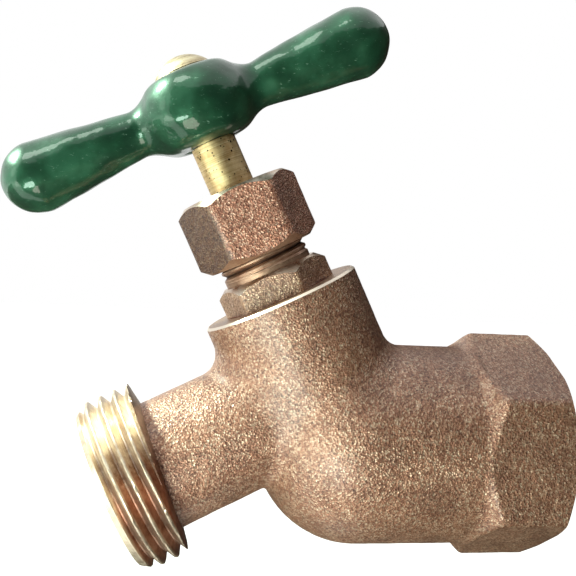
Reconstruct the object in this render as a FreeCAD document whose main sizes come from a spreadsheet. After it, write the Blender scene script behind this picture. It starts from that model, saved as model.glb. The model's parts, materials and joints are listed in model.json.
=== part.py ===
import FreeCAD, Part
import Sketcher
import math
import os

# Hose bibb: a cast bronze garden tap with a female pipe inlet, a male hose thread and a tee handle.
#
# The row frame: the origin is the centre of the inlet mouth, +X points out of the inlet, +Z is up.
# The stem leans back over the spout, and the spout leaves square to the stem, down and away from the inlet.
# Pieces on the stem are drawn upright, with their heights counted from where the stem's axis crosses the
# inlet's axis, and then put in place by one lean.

Vector = FreeCAD.Vector
doc = FreeCAD.newDocument("HoseBibb")

SIZES = [
    # inlet and barrel
    ("inlet_to_stem", 32.0, "inlet mouth to the stem axis, along the inlet axis"),
    ("barrel_radius", 15.7, "outside of the barrel and of its round end"),
    ("bulb_shift", 1.6, "the round end's centre lies this far towards the inlet from the stem axis"),
    ("cast_wall", 3.3, "wall of the casting round the barrel"),
    ("inlet_flats", 31.75, "across the flats of the inlet hexagon"),
    ("inlet_hexagon", 13.4, "length of the inlet hexagon"),
    ("inlet_corner", 0.7, "rounding of the inlet hexagon's cast corners"),
    ("inlet_bevel", 2.8, "length of the bevel at the back of the inlet hexagon"),
    ("inlet_chamfer", 1.9, "length of the turned chamfer round the inlet mouth"),
    ("inlet_mouth", 16.2, "outer radius of the flat ring at the inlet mouth"),
    ("inlet_bore", 12.0, "radius over the inlet's thread crests"),
    ("inlet_pitch", 1.814, "pitch of the inlet thread, 14 to the inch"),
    ("inlet_groove", 0.75, "depth of the inlet thread's groove"),
    ("inlet_crest", 0.8, "width of the flat on an inlet thread crest"),
    ("inlet_thread", 15.0, "depth of the threaded stretch of the inlet"),
    ("inlet_step", 1.0, "length of the slope between the waterway and the inlet thread"),
    ("inlet_lead", 0.6, "width of the lead-in chamfer of the inlet bore"),
    # bonnet boss and seat
    ("stem_lean", 26.5, "lean of the stem from upright, in degrees"),
    ("boss_radius", 12.6, "outside of the bonnet boss"),
    ("boss_top", 25.4, "height of the boss's machined face"),
    ("socket_depth", 10.8, "depth of the boss's threaded socket"),
    ("chamber_radius", 9.0, "radius of the chamber over the seat"),
    ("chamber_floor", 0.9, "height of the chamber floor"),
    ("floor_thickness", 2.7, "thickness of the chamber floor"),
    ("seat_bore", 4.8, "radius of the hole through the seat"),
    ("seat_land", 0.8, "width of the seat's raised ring"),
    ("seat_slope", 0.6, "width of the slope outside the seat's ring"),
    ("seat_height", 1.4, "height of the seat's ring above the chamber floor"),
    ("wall_inset", 0.2, "inner walls stay this far under the casting's outer faces"),
    # spout
    ("spout_height", 9.2, "height of the spout axis on the stem axis"),
    ("spout_length", 35.7, "stem axis to the spout's end face"),
    ("neck_radius", 9.9, "outside of the spout neck"),
    ("spout_bore", 8.0, "radius of the waterway in the spout"),
    ("spout_lip", 0.8, "width of the chamfer inside the spout's end"),
    ("collar_length", 9.3, "length of the threaded hose collar"),
    ("hose_radius", 13.5, "radius over the crests of the hose thread"),
    ("hose_pitch", 2.209, "pitch of the hose thread, 11.5 to the inch"),
    ("hose_groove", 1.5, "depth of the hose thread's groove"),
    ("hose_crest", 0.3, "width of the flat on a hose thread crest"),
    ("hose_turns", 5, "turns of the hose thread's groove"),
    ("hose_lead", 1.2, "length of the chamfer at the end of the hose thread"),
    ("hose_phase", 0.9, "the first full groove crosses the top of the collar this far from the end face"),
    ("cast_fillet", 2.2, "fillet where the cast barrel, boss and neck meet"),
    # threads in general
    ("thread_past", 0.1, "a thread's cut starts this far outside the crests"),
    ("thread_run", 0.6, "a thread's cut starts this far before its threaded stretch"),
    ("thread_root", 0.2, "width of the bottom of a pointed thread groove"),
    # bonnet
    ("bonnet_flats", 15.875, "across the flats of the bonnet's hexagon"),
    ("bonnet_hexagon", 4.3, "height of the bonnet's hexagon"),
    ("bonnet_turn", -15.0, "turn of the bonnet's hexagon about the stem, in degrees"),
    ("bonnet_lower", 6.8, "radius over the crests of the bonnet's lower thread"),
    ("bonnet_relief", 0.8, "height of the plain groove between the bonnet's lower thread and its hexagon"),
    ("bonnet_upper", 7.0, "radius over the crests of the packing nut's thread"),
    ("bonnet_plain", 1.1, "height of the plain ring above the bonnet's hexagon"),
    ("bonnet_neck", 9.9, "height of the bonnet above its hexagon"),
    ("bonnet_pitch", 1.27, "pitch of the bonnet's outer threads, 20 to the inch"),
    ("bonnet_groove", 0.6, "depth of the bonnet's outer threads"),
    ("bonnet_crest", 0.38, "width of the flat on a crest of the bonnet's outer threads"),
    ("bonnet_wall", 1.2, "thickness of the floor under the packing"),
    ("packing_box", 5.2, "radius of the packing box in the top of the bonnet"),
    ("packing_depth", 6.4, "depth of the packing box"),
    ("fit_gap", 0.1, "radial gap of a thread or bore on the piece in it"),
    ("hexagon_inset", 0.3, "a hexagon's turned end face is this much smaller than its flats"),
    ("hexagon_bevel", 33.0, "slope of the turned chamfers of the bonnet's and nut's hexagons, in degrees"),
    # gasket and packing
    ("gasket_outer", 8.5, "outer radius of the gasket"),
    ("gasket_height", 0.8, "thickness of the gasket"),
    ("ring_height", 1.35, "height of one packing ring in the stack"),
    ("ring_count", 3, "number of packing rings"),
    ("ring_gap", 0.02, "gap round and between the packing rings"),
    ("gland_gap", 0.3, "gap between the gland's flange and the top of the bonnet"),
    ("gland_flange", 1.2, "thickness of the gland's flange"),
    # packing nut
    ("nut_flats", 17.4, "across the flats of the packing nut"),
    ("nut_rise", 2.9, "bonnet's hexagon to the packing nut's lower face"),
    ("nut_height", 11.0, "height of the packing nut"),
    ("nut_turn", -4.8, "turn of the packing nut about the stem, in degrees"),
    ("nut_lead", 0.5, "width of the lead-in chamfer of the packing nut's bore"),
    ("nut_corner", 1.0, "rounding of the packing nut's cast corners"),
    # stem, seat washer and its screw
    ("stem_radius", 3.57, "radius of the plain stem"),
    ("stem_thread", 4.7, "radius over the crests of the stem's lifting thread"),
    ("stem_pitch", 2.54, "pitch of the lifting thread, 10 to the inch"),
    ("stem_groove", 0.95, "depth of the lifting thread"),
    ("stem_crest", 1.1, "width of the flat on a crest of the lifting thread"),
    ("stem_root", 0.9, "width of the bottom of the lifting thread's groove"),
    ("stem_ends", 1.0, "length of the slope at each end of the lifting thread"),
    ("stem_lift", 7.0, "travel of the stem from closed to open"),
    ("lift_gap", 1.0, "room left above the stem's head and its thread when open"),
    ("stem_neck", 3.4, "radius of the stem between its head and its thread"),
    ("neck_length", 3.5, "length of the stem between its head and its thread"),
    ("head_radius", 6.6, "radius of the stem's head"),
    ("head_height", 3.1, "thickness of the stem's head over the washer"),
    ("head_bevel", 1.2, "chamfer on the back of the stem's head"),
    ("cup_depth", 1.5, "depth of the cup that holds the washer"),
    ("washer_radius", 5.95, "radius of the seat washer"),
    ("washer_height", 3.0, "thickness of the seat washer"),
    ("washer_gap", 0.05, "gap between the seat and its washer, closed"),
    ("washer_hole", 1.95, "radius of the hole in the seat washer"),
    ("brass_screw_head", 3.1, "radius of the washer screw's head"),
    ("brass_screw_height", 1.5, "height of the washer screw's head"),
    ("brass_screw_shank", 1.75, "radius of the washer screw's shank"),
    ("brass_screw_reach", 6.5, "length of the washer screw's shank"),
    # handle and its screw
    ("tang_flats", 5.0, "across the flats of the square on the stem's top"),
    ("tang_length", 7.0, "length of the square on the stem's top"),
    ("tang_gap", 0.05, "gap of the handle's square hole on the stem's square"),
    ("tang_roof", 0.3, "room over the stem's square in the handle's hole"),
    ("stem_show", 7.8, "length of stem that shows between the packing nut and the handle, closed"),
    ("hub_drop", 5.6, "underside of the handle's hub to the axis of its arms"),
    ("hub_rise", 6.0, "axis of the handle's arms to the top of its hub"),
    ("arm_reach", 26.5, "stem axis to the centre of the round end of an arm"),
    ("arm_end", 5.6, "radius of the round end of an arm"),
    ("arm_neck", 3.6, "radius of an arm beside the hub"),
    ("neck_place", 9.6, "stem axis to the thinnest place of an arm"),
    ("handle_turned", 6.0, "turn of the handle about the stem, in degrees"),
    ("hub_radius", 9.2, "radius of the hub at the arms"),
    ("hub_foot", 6.2, "radius of the hub's underside"),
    ("hub_crown", 5.9, "radius of the hub's top"),
    ("handle_fillet", 2.0, "fillet between the hub and an arm"),
    ("top_screw_head", 4.7, "radius of the handle screw's head"),
    ("top_screw_height", 2.6, "height of the handle screw's head"),
    ("top_screw_shank", 1.9, "radius of the handle screw's shank"),
    ("top_screw_reach", 9.5, "length of the handle screw's shank"),
    ("hole_room", 0.5, "room left at the bottom of a screw's hole"),
    ("screw_fit", 0.02, "radial gap of a screw's shank in its hole"),
    ("slot_width", 1.1, "width of the slots in both screws' heads"),
    ("slot_depth", 0.9, "depth of the slots in both screws' heads"),
    # cutting
    ("cut_past", 1.0, "a cut runs this far past the metal that it takes away"),
]

sheet = doc.addObject("Spreadsheet::Sheet", "Sizes")
for row, (alias, value, note) in enumerate(SIZES, start=1):
    sheet.set("A%d" % row, alias.replace("_", " "))
    sheet.set("B%d" % row, str(value))
    sheet.set("C%d" % row, note)
    sheet.setAlias("B%d" % row, alias)
doc.recompute()

ALIASES = sorted((alias for alias, _, _ in SIZES), key=len, reverse=True)
PARTS = []
SAME_PLACE = 0.001


def formula(text):
    """Turn a formula of size names, such as 'boss_top + 2', into one that reads the sheet."""
    words, word = [], ""
    for letter in str(text) + " ":
        if letter.isalnum() or letter == "_":
            word += letter
            continue
        words.append("Sizes." + word if word in ALIASES else word)
        words.append(letter)
        word = ""
    return "".join(words).strip()


def number(text):
    """Give a formula's value now, in millimetres or degrees."""
    value = sheet.evalExpression(formula(text))
    return float(getattr(value, "Value", value))


def bind(item, **formulas):
    """Bind properties of an object to formulas of the sizes; a double underscore stands for a dot."""
    for name, text in formulas.items():
        item.setExpression(name.replace("__", "."), formula(text))


def lean(piece):
    """Put a piece that is drawn on the upright stem axis in its place on the leaning one."""
    piece.Placement = FreeCAD.Placement(
        Vector(-number("inlet_to_stem"), 0, 0),
        FreeCAD.Rotation(Vector(0, -1, 0), number("stem_lean")))
    bind(piece, Placement__Base__x="-inlet_to_stem", Placement__Rotation__Angle="stem_lean * 1 deg")


def new_piece(name, leaning=True):
    """Start one sub-part. A leaning one is drawn on the upright stem axis, then leant into place."""
    piece = doc.addObject("PartDesign::Body", name)
    piece.Label = name
    if leaning:
        lean(piece)
    PARTS.append(piece)
    return piece


def origin_plane(piece, role):
    """Find one of the piece's own origin planes by its role."""
    return next(item for item in piece.Origin.OriginFeatures if item.Role == role)


def new_sketch(piece, name, role="XZ_Plane", shift=("0", "0"), turn="0", raised="0"):
    """Attach a sketch to an origin plane, shifted and turned in it, and raised off it."""
    sketch = piece.newObject("Sketcher::SketchObject", name)
    sketch.AttachmentSupport = (origin_plane(piece, role), [""])
    sketch.MapMode = "FlatFace"
    sketch.AttachmentOffset = FreeCAD.Placement(
        Vector(number(shift[0]), number(shift[1]), number(raised)),
        FreeCAD.Rotation(Vector(0, 0, 1), number(turn)))
    bind(sketch, AttachmentOffset__Base__x=shift[0], AttachmentOffset__Base__y=shift[1],
         AttachmentOffset__Base__z=raised)
    if turn != "0":
        bind(sketch, AttachmentOffset__Rotation__Angle="(%s) * 1 deg" % turn)
    return sketch


def fix_point(sketch, edge, end, x, y):
    """Hold a point of the sketch at formulas of the sizes."""
    for axis, text in (("DistanceX", x), ("DistanceY", y)):
        if text == "0":
            along = -2 if axis == "DistanceX" else -1
            sketch.addConstraint(Sketcher.Constraint("PointOnObject", edge, end, along))
            continue
        index = sketch.addConstraint(Sketcher.Constraint(axis, -1, 1, edge, end, number(text)))
        sketch.setExpression("Constraints[%d]" % index, formula(text))


def draw(sketch, points):
    """Draw a closed outline. A point is (x, y), or (x, y, radius) when an arc leads to it.

    A positive radius bulges to the left of the way from the last point, a negative one to the right.
    """
    places = [Vector(number(point[0]), number(point[1]), 0) for point in points]
    starts = []
    for index, here in enumerate(places):
        after = places[(index + 1) % len(places)]
        bulge = points[(index + 1) % len(points)][2:]
        if not bulge:
            sketch.addGeometry(Part.LineSegment(here, after), False)
            starts.append(1)
            continue
        radius = number(bulge[0])
        chord = after - here
        inward = Vector(chord.y, -chord.x, 0).normalize() * math.copysign(1, radius)
        depth = math.sqrt(max(radius ** 2 - chord.Length ** 2 / 4, 0))
        centre = (here + after) * 0.5 + inward * depth
        first, last = (after, here) if radius > 0 else (here, after)
        angles = [math.atan2(place.y - centre.y, place.x - centre.x) for place in (first, last)]
        circle = Part.Circle(centre, Vector(0, 0, 1), abs(radius))
        sketch.addGeometry(Part.ArcOfCircle(circle, angles[0], angles[1]), False)
        starts.append(2 if radius > 0 else 1)
    for index in range(len(places)):
        after = (index + 1) % len(places)
        joint = Sketcher.Constraint("Coincident", index, 3 - starts[index], after, starts[after])
        sketch.addConstraint(joint)
    for index, point in enumerate(points):
        fix_point(sketch, index, starts[index], str(point[0]), str(point[1]))
    for index in range(len(points)):
        bulge = points[(index + 1) % len(points)][2:]
        if bulge:
            size = str(bulge[0]).lstrip("-")
            mark = sketch.addConstraint(Sketcher.Constraint("Radius", index, number(size)))
            sketch.setExpression("Constraints[%d]" % mark, formula(size))


def turned(piece, name, points, cut=False, axis="V_Axis", **place):
    """Turn an outline full circle about an axis of its sketch, as metal or as a cut."""
    sketch = new_sketch(piece, name + "_outline", **place)
    draw(sketch, points)
    kind = "PartDesign::Groove" if cut else "PartDesign::Revolution"
    feature = piece.newObject(kind, name)
    feature.Profile = sketch
    feature.ReferenceAxis = (sketch, [axis])
    feature.Angle = 360
    piece.Tip = feature
    doc.recompute()
    return feature


def padded(piece, name, points, length, cut=False, downwards=False, **place):
    """Push an outline straight along its normal, as metal or as a cut."""
    sketch = new_sketch(piece, name + "_outline", **place)
    draw(sketch, points)
    feature = piece.newObject("PartDesign::Pocket" if cut else "PartDesign::Pad", name)
    feature.Profile = sketch
    bind(feature, Length=length)
    feature.Reversed = downwards
    piece.Tip = feature
    doc.recompute()
    return feature


def hexagon(flats, turn="0"):
    """Corners of a hexagon by its size across the flats, turned in its plane."""
    reach = "(%s) / sqrt(3)" % flats
    corners = []
    for step in range(6):
        angle = "(%s + %d) * 1 deg" % (turn, 60 * step)
        corners.append(("%s * cos(%s)" % (reach, angle), "%s * sin(%s)" % (reach, angle)))
    return corners


def thread_cut(piece, name, first, pitch, length, crest, depth, flat, root="thread_root",
               along_x=False, inside=False, **place):
    """Cut one helical groove: its middle starts at 'first' and climbs 'length', right-handed.

    'crest' is the radius over the crests, 'depth' the groove's depth, 'flat' the width left on a crest
    and 'root' the width of the groove's bottom.
    """
    outwards, inwards = ("-", "+") if inside else ("+", "-")
    half = f"(({pitch} - {flat}) / 2)"
    half_root = f"({root} / 2)"
    half_mouth = f"({half} + thread_past * ({half} - {half_root}) / {depth})"
    mouth = f"{crest} {outwards} thread_past"
    bottom = f"{crest} {inwards} {depth}"
    corners = [(f"{first} - {half_mouth}", mouth), (f"{first} + {half_mouth}", mouth),
               (f"{first} + {half_root}", bottom), (f"{first} - {half_root}", bottom)]
    if not along_x:
        corners = [(across, along) for along, across in corners]
    sketch = new_sketch(piece, name + "_outline", **place)
    draw(sketch, corners)
    feature = piece.newObject("PartDesign::SubtractiveHelix", name)
    feature.Profile = sketch
    feature.ReferenceAxis = (sketch, ["H_Axis" if along_x else "V_Axis"])
    feature.Mode = 0
    bind(feature, Pitch=pitch, Height=length)
    piece.Tip = feature
    doc.recompute()
    return feature


def creases(shape, least_angle=20):
    """Names of the edges where two curved faces meet at a real crease."""
    found = []
    for index, edge in enumerate(shape.Edges, start=1):
        faces = shape.ancestorsOfType(edge, Part.Face)
        if len(faces) != 2 or any(isinstance(face.Surface, Part.Plane) for face in faces):
            continue
        middle = edge.valueAt((edge.FirstParameter + edge.LastParameter) / 2)
        normals = [face.normalAt(*face.Surface.parameter(middle)) for face in faces]
        if math.degrees(normals[0].getAngle(normals[1])) > least_angle:
            found.append("Edge%d" % index)
    return found


def corner_edges(shape, along, radius):
    """Names of the straight edges along a direction, at a radius from the axis through the origin."""
    found = []
    for index, edge in enumerate(shape.Edges, start=1):
        offsets = [vertex.Point - along * vertex.Point.dot(along) for vertex in edge.Vertexes]
        if len(offsets) == 2 and all(abs(offset.Length - radius) < SAME_PLACE for offset in offsets):
            if (offsets[0] - offsets[1]).Length < SAME_PLACE:
                found.append("Edge%d" % index)
    return found


def rounded(piece, name, edges, radius):
    """Fillet named edges of the piece as it stands."""
    base = piece.Tip
    feature = piece.newObject("PartDesign::Fillet", name)
    feature.Base = (base, edges)
    bind(feature, Radius=radius)
    piece.Tip = feature
    doc.recompute()
    return feature


def turned_end(piece, name, flats, face, upper=True):
    """Turn a bevel on one end of a hexagon, so that its corners are cut back to a round face."""
    out = "+" if upper else "-"
    back = "-" if upper else "+"
    corner = f"({flats} / sqrt(3) + cut_past)"
    inner = f"({flats} / 2 - hexagon_inset)"
    turned(piece, name, cut=True, points=[
        (inner, face),
        (corner, f"{face} {back} ({corner} - {inner}) * tan(hexagon_bevel * 1 deg)"),
        (corner, f"{face} {out} cut_past"),
        (inner, f"{face} {out} cut_past")])


def screw_hole(piece, name, shank, mouth, end):
    """Bore a plain hole for a screw's shank on the stem axis, between two heights."""
    turned(piece, name, cut=True, points=[
        ("0", end),
        (f"{shank} + screw_fit", end),
        (f"{shank} + screw_fit", mouth),
        ("0", mouth)])


def rectangle(half_long, half_wide):
    """Corners of a rectangle by half its length and half its width."""
    return [(f"-{half_long}", f"-{half_wide}"), (half_long, f"-{half_wide}"),
            (half_long, half_wide), (f"-{half_long}", half_wide)]


def hub_arc(end_radius, height):
    """Radius of the arc that leaves the hub's widest ring upright and ends at another radius and height."""
    step = f"(hub_radius - {end_radius})"
    return f"(({step} * {step} + {height} * {height}) / (2 * {step}))"


# Heights on the stem axis that more than one piece uses

SEAT = "(chamber_floor + seat_height + washer_gap)"
CUP = f"({SEAT} + washer_height)"
HEAD = f"({CUP} + head_height)"
BONNET_FOOT = f"({HEAD} + stem_lift + lift_gap)"
SHOULDER = "(boss_top + bonnet_hexagon)"
BONNET_TOP = f"({SHOULDER} + bonnet_neck)"
PACKING_FLOOR = f"({BONNET_TOP} - packing_depth)"
GLAND_TOP = f"({BONNET_TOP} + gland_gap + gland_flange)"
NUT_BOTTOM = f"({SHOULDER} + nut_rise)"
NUT_TOP = f"({NUT_BOTTOM} + nut_height)"
HANDLE_BOTTOM = f"({NUT_TOP} + stem_show)"
ARM_AXIS = f"({HANDLE_BOTTOM} + hub_drop)"
HANDLE_TOP = f"({ARM_AXIS} + hub_rise)"

# Where the boss's and the spout's outlines lie in the casting's middle plane

LEAN = dict(shift=("-inlet_to_stem", "0"), turn="stem_lean")
SPOUT = dict(shift=("-inlet_to_stem - spout_height * sin(stem_lean * 1 deg)",
                    "spout_height * cos(stem_lean * 1 deg)"), turn="stem_lean")


# The casting: barrel, inlet hexagon, boss, spout and seat in one piece

def make_body():
    """The bronze casting and everything machined into it."""
    body = new_piece("body", leaning=False)
    bulb = "bulb_shift - inlet_to_stem"
    floor = "chamber_floor - floor_thickness"
    turned(body, "barrel", axis="H_Axis", points=[
        (f"{bulb} - barrel_radius", "0"),
        (bulb, "barrel_radius", "barrel_radius"),
        ("-inlet_hexagon / 2", "barrel_radius"),
        ("-inlet_hexagon / 2", "0")])
    turned(body, "boss", axis="V_Axis", points=[
        ("0", floor),
        ("boss_radius", floor),
        ("boss_radius", "boss_top"),
        ("0", "boss_top")], **LEAN)
    turned(body, "neck", axis="H_Axis", points=[
        ("0", "0"),
        ("0", "neck_radius"),
        ("collar_length / 2 - spout_length", "neck_radius"),
        ("collar_length / 2 - spout_length", "0")], **SPOUT)
    rounded(body, "cast_rounding", creases(body.Tip.Shape), "cast_fillet")

    corner = "(inlet_flats / sqrt(3) + cut_past)"
    padded(body, "inlet_hexagon_block", hexagon("inlet_flats", "90"), "inlet_hexagon",
           downwards=True, role="YZ_Plane")
    corners = corner_edges(body.Tip.Shape, Vector(1, 0, 0), number("inlet_flats / sqrt(3)"))
    rounded(body, "inlet_corners", corners, "inlet_corner")
    turned(body, "inlet_back_bevel", cut=True, axis="H_Axis", points=[
        ("-inlet_hexagon - cut_past", "barrel_radius"),
        ("-inlet_hexagon", "barrel_radius"),
        ("inlet_bevel - inlet_hexagon", corner),
        ("-inlet_hexagon - cut_past", corner)])
    turned(body, "inlet_mouth_chamfer", cut=True, axis="H_Axis", points=[
        ("cut_past", "inlet_mouth"),
        ("0", "inlet_mouth"),
        ("-inlet_chamfer", corner),
        ("cut_past", corner)])

    inner = "(barrel_radius - cast_wall)"
    turned(body, "inlet_waterway", cut=True, axis="H_Axis", points=[
        (f"{bulb} - {inner}", "0"),
        (bulb, inner, inner),
        ("-inlet_thread - inlet_step", inner),
        ("-inlet_thread", "inlet_bore"),
        ("-inlet_lead", "inlet_bore"),
        ("0", "inlet_bore + inlet_lead"),
        ("0", "0")])
    turned(body, "chamber_wall", axis="V_Axis", points=[
        ("0", floor),
        ("boss_radius - wall_inset", floor),
        ("boss_radius - wall_inset", "boss_top - socket_depth"),
        ("0", "boss_top - socket_depth")], **LEAN)
    turned(body, "neck_wall", axis="H_Axis", points=[
        ("0", "0"),
        ("0", "neck_radius - wall_inset"),
        ("-boss_radius - cast_wall", "neck_radius - wall_inset"),
        ("-boss_radius - cast_wall", "0")], **SPOUT)
    seat_top = "(chamber_floor + seat_height)"
    narrow = "(bonnet_lower + fit_gap)"
    recess = "(gasket_outer + fit_gap)"
    turned(body, "chamber", cut=True, axis="V_Axis", points=[
        ("0", floor + " - cut_past"),
        ("seat_bore", floor + " - cut_past"),
        ("seat_bore", seat_top),
        ("seat_bore + seat_land", seat_top),
        ("seat_bore + seat_land + seat_slope", "chamber_floor"),
        ("chamber_radius", "chamber_floor"),
        ("chamber_radius", f"boss_top - socket_depth - chamber_radius + {narrow}"),
        (narrow, "boss_top - socket_depth"),
        (narrow, "boss_top - gasket_height"),
        (recess, "boss_top - gasket_height"),
        (recess, "boss_top"),
        ("0", "boss_top")], **LEAN)

    turned(body, "hose_collar", axis="H_Axis", points=[
        ("collar_length - spout_length", "0"),
        ("collar_length - spout_length", "hose_radius"),
        ("hose_lead - spout_length", "hose_radius"),
        ("-spout_length", "hose_radius - hose_lead"),
        ("-spout_length", "0")], **SPOUT)
    turned(body, "spout_waterway", cut=True, axis="H_Axis", points=[
        ("0", "0"),
        ("0", "spout_bore"),
        ("spout_lip - spout_length", "spout_bore"),
        ("-spout_length", "spout_bore + spout_lip"),
        ("-spout_length", "0")], **SPOUT)

    thread_cut(body, "hose_thread", along_x=True, first="hose_phase - hose_pitch - spout_length",
               pitch="hose_pitch", length="hose_turns * hose_pitch", crest="hose_radius",
               depth="hose_groove", flat="hose_crest", **SPOUT)
    thread_cut(body, "pipe_thread", along_x=True, inside=True, first="-inlet_thread - thread_run",
               pitch="inlet_pitch", length="inlet_thread + thread_run + inlet_pitch / 2",
               crest="inlet_bore", depth="inlet_groove", flat="inlet_crest")


# The pieces on the stem axis, from the boss upwards

def make_gasket():
    """Fibre ring in the boss's recess, under the bonnet's hexagon."""
    gasket = new_piece("bonnet_gasket")
    turned(gasket, "ring", points=[
        ("bonnet_lower + fit_gap", "boss_top - gasket_height"),
        ("gasket_outer", "boss_top - gasket_height"),
        ("gasket_outer", "boss_top"),
        ("bonnet_lower + fit_gap", "boss_top")])


def make_bonnet():
    """Turned brass bonnet: lower thread, hexagon, upper thread, lifting-thread bore and packing box."""
    bonnet = new_piece("bonnet")
    turned(bonnet, "barrel", points=[
        ("0", BONNET_FOOT),
        ("bonnet_lower - bonnet_groove", BONNET_FOOT),
        ("bonnet_lower", f"{BONNET_FOOT} + bonnet_groove"),
        ("bonnet_lower", "boss_top - bonnet_relief"),
        ("bonnet_lower - bonnet_groove", "boss_top - bonnet_relief"),
        ("bonnet_lower - bonnet_groove", "boss_top"),
        ("bonnet_upper", "boss_top"),
        ("bonnet_upper", f"{BONNET_TOP} - bonnet_groove"),
        ("bonnet_upper - bonnet_groove", BONNET_TOP),
        ("0", BONNET_TOP)])
    padded(bonnet, "hexagon", hexagon("bonnet_flats", "bonnet_turn"), "bonnet_hexagon",
           role="XY_Plane", raised="boss_top")
    turned_end(bonnet, "hexagon_chamfer", "bonnet_flats", SHOULDER)
    bore = "stem_thread + fit_gap"
    turned(bonnet, "bore", cut=True, points=[
        ("0", BONNET_FOOT),
        (f"{bore} + bonnet_groove", BONNET_FOOT),
        (bore, f"{BONNET_FOOT} + bonnet_groove"),
        (bore, f"{PACKING_FLOOR} - bonnet_wall"),
        ("stem_radius + fit_gap", f"{PACKING_FLOOR} - bonnet_wall"),
        ("stem_radius + fit_gap", PACKING_FLOOR),
        ("packing_box", PACKING_FLOOR),
        ("packing_box", BONNET_TOP),
        ("0", BONNET_TOP)])
    thread = dict(pitch="bonnet_pitch", depth="bonnet_groove", flat="bonnet_crest")
    thread_cut(bonnet, "upper_thread", first=f"{SHOULDER} + bonnet_plain + thread_run",
               length="bonnet_neck - bonnet_plain", crest="bonnet_upper", **thread)
    thread_cut(bonnet, "lower_thread", first=f"{BONNET_FOOT} - thread_run", crest="bonnet_lower",
               length=f"boss_top - bonnet_relief - {BONNET_FOOT} + thread_run", **thread)


def make_packing_ring(index):
    """One graphite ring of the stack in the packing box, round the stem."""
    ring = new_piece("packing_ring_%d" % (index + 1))
    low = f"({PACKING_FLOOR} + {index} * ring_height)"
    turned(ring, "ring", points=[
        ("stem_radius + ring_gap", low),
        ("packing_box - ring_gap", low),
        ("packing_box - ring_gap", f"{low} + ring_height - ring_gap"),
        ("stem_radius + ring_gap", f"{low} + ring_height - ring_gap")])


def make_gland():
    """Brass bush that the packing nut presses on the rings."""
    gland = new_piece("packing_gland")
    under = f"({PACKING_FLOOR} + ring_count * ring_height)"
    turned(gland, "bush", points=[
        ("stem_radius + fit_gap", under),
        ("packing_box - fit_gap", under),
        ("packing_box - fit_gap", f"{BONNET_TOP} + gland_gap"),
        ("bonnet_upper - bonnet_groove", f"{BONNET_TOP} + gland_gap"),
        ("bonnet_upper - bonnet_groove", GLAND_TOP),
        ("stem_radius + fit_gap", GLAND_TOP)])


def make_packing_nut():
    """Cast hexagon nut that screws over the bonnet and squeezes the packing."""
    nut = new_piece("packing_nut")
    padded(nut, "block", hexagon("nut_flats", "nut_turn"), "nut_height", role="XY_Plane", raised=NUT_BOTTOM)
    corners = corner_edges(nut.Tip.Shape, Vector(0, 0, 1), number("nut_flats / sqrt(3)"))
    rounded(nut, "cast_corners", corners, "nut_corner")
    turned_end(nut, "upper_chamfer", "nut_flats", NUT_TOP)
    turned_end(nut, "lower_chamfer", "nut_flats", NUT_BOTTOM, upper=False)
    turned(nut, "bore", cut=True, points=[
        ("0", NUT_BOTTOM),
        ("bonnet_upper + fit_gap + nut_lead", NUT_BOTTOM),
        ("bonnet_upper + fit_gap", f"{NUT_BOTTOM} + nut_lead"),
        ("bonnet_upper + fit_gap", GLAND_TOP),
        ("stem_radius + 2 * fit_gap", GLAND_TOP),
        ("stem_radius + 2 * fit_gap", NUT_TOP),
        ("0", NUT_TOP)])


def make_stem():
    """Turned brass stem: washer cup, lifting thread, plain shank and a square for the handle."""
    stem = new_piece("stem")
    thread_low = f"({HEAD} + neck_length)"
    thread_high = f"({PACKING_FLOOR} - bonnet_wall - stem_lift - lift_gap)"
    turned(stem, "shank", points=[
        ("0", CUP),
        ("washer_radius + fit_gap", CUP),
        ("washer_radius + fit_gap", f"{CUP} - cup_depth"),
        ("head_radius", f"{CUP} - cup_depth"),
        ("head_radius", f"{HEAD} - head_bevel"),
        ("head_radius - head_bevel", HEAD),
        ("stem_neck", HEAD),
        ("stem_neck", thread_low),
        ("stem_thread", f"{thread_low} + stem_ends"),
        ("stem_thread", f"{thread_high} - stem_ends"),
        ("stem_radius", thread_high),
        ("stem_radius", HANDLE_BOTTOM),
        ("0", HANDLE_BOTTOM)])
    half = "(tang_flats / 2)"
    padded(stem, "square", rectangle(half, half), "tang_length", role="XY_Plane", raised=HANDLE_BOTTOM)
    screw_hole(stem, "top_screw_hole", "top_screw_shank", f"{HANDLE_BOTTOM} + tang_length",
               f"{HANDLE_TOP} - top_screw_reach - hole_room")
    screw_hole(stem, "washer_screw_hole", "brass_screw_shank", CUP,
               f"{SEAT} + brass_screw_reach + hole_room")
    thread_cut(stem, "lifting_thread", first=f"{thread_low} - thread_run", pitch="stem_pitch",
               length=f"{thread_high} - {thread_low} + 2 * thread_run", crest="stem_thread",
               depth="stem_groove", flat="stem_crest", root="stem_root")


def make_seat_washer():
    """Black rubber disc that closes the seat."""
    washer = new_piece("seat_washer")
    turned(washer, "disc", points=[
        ("washer_hole", SEAT),
        ("washer_radius", SEAT),
        ("washer_radius", CUP),
        ("washer_hole", CUP)])


def make_slotted_screw(name, size, face, upwards):
    """Round-headed slotted screw. Its head stands on the height 'face', its shank goes the other way."""
    screw = new_piece(name)
    head, tail = ("+", "-") if upwards else ("-", "+")
    radius, height, shank = f"{size}_head", f"{size}_height", f"{size}_shank"
    crown = f"({face} {head} {height})"
    tip = f"({face} {tail} {size}_reach)"
    dome = f"(({radius} * {radius} + {height} * {height}) / (2 * {height}))"
    turned(screw, "blank", points=[
        ("0", tip),
        (shank, tip),
        (shank, face),
        (radius, face),
        ("0", crown, "-" + dome if upwards else dome)])
    padded(screw, "slot", rectangle(f"({radius} + cut_past)", "(slot_width / 2)"), "slot_depth",
           cut=True, downwards=not upwards, role="XY_Plane", raised=crown)


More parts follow.
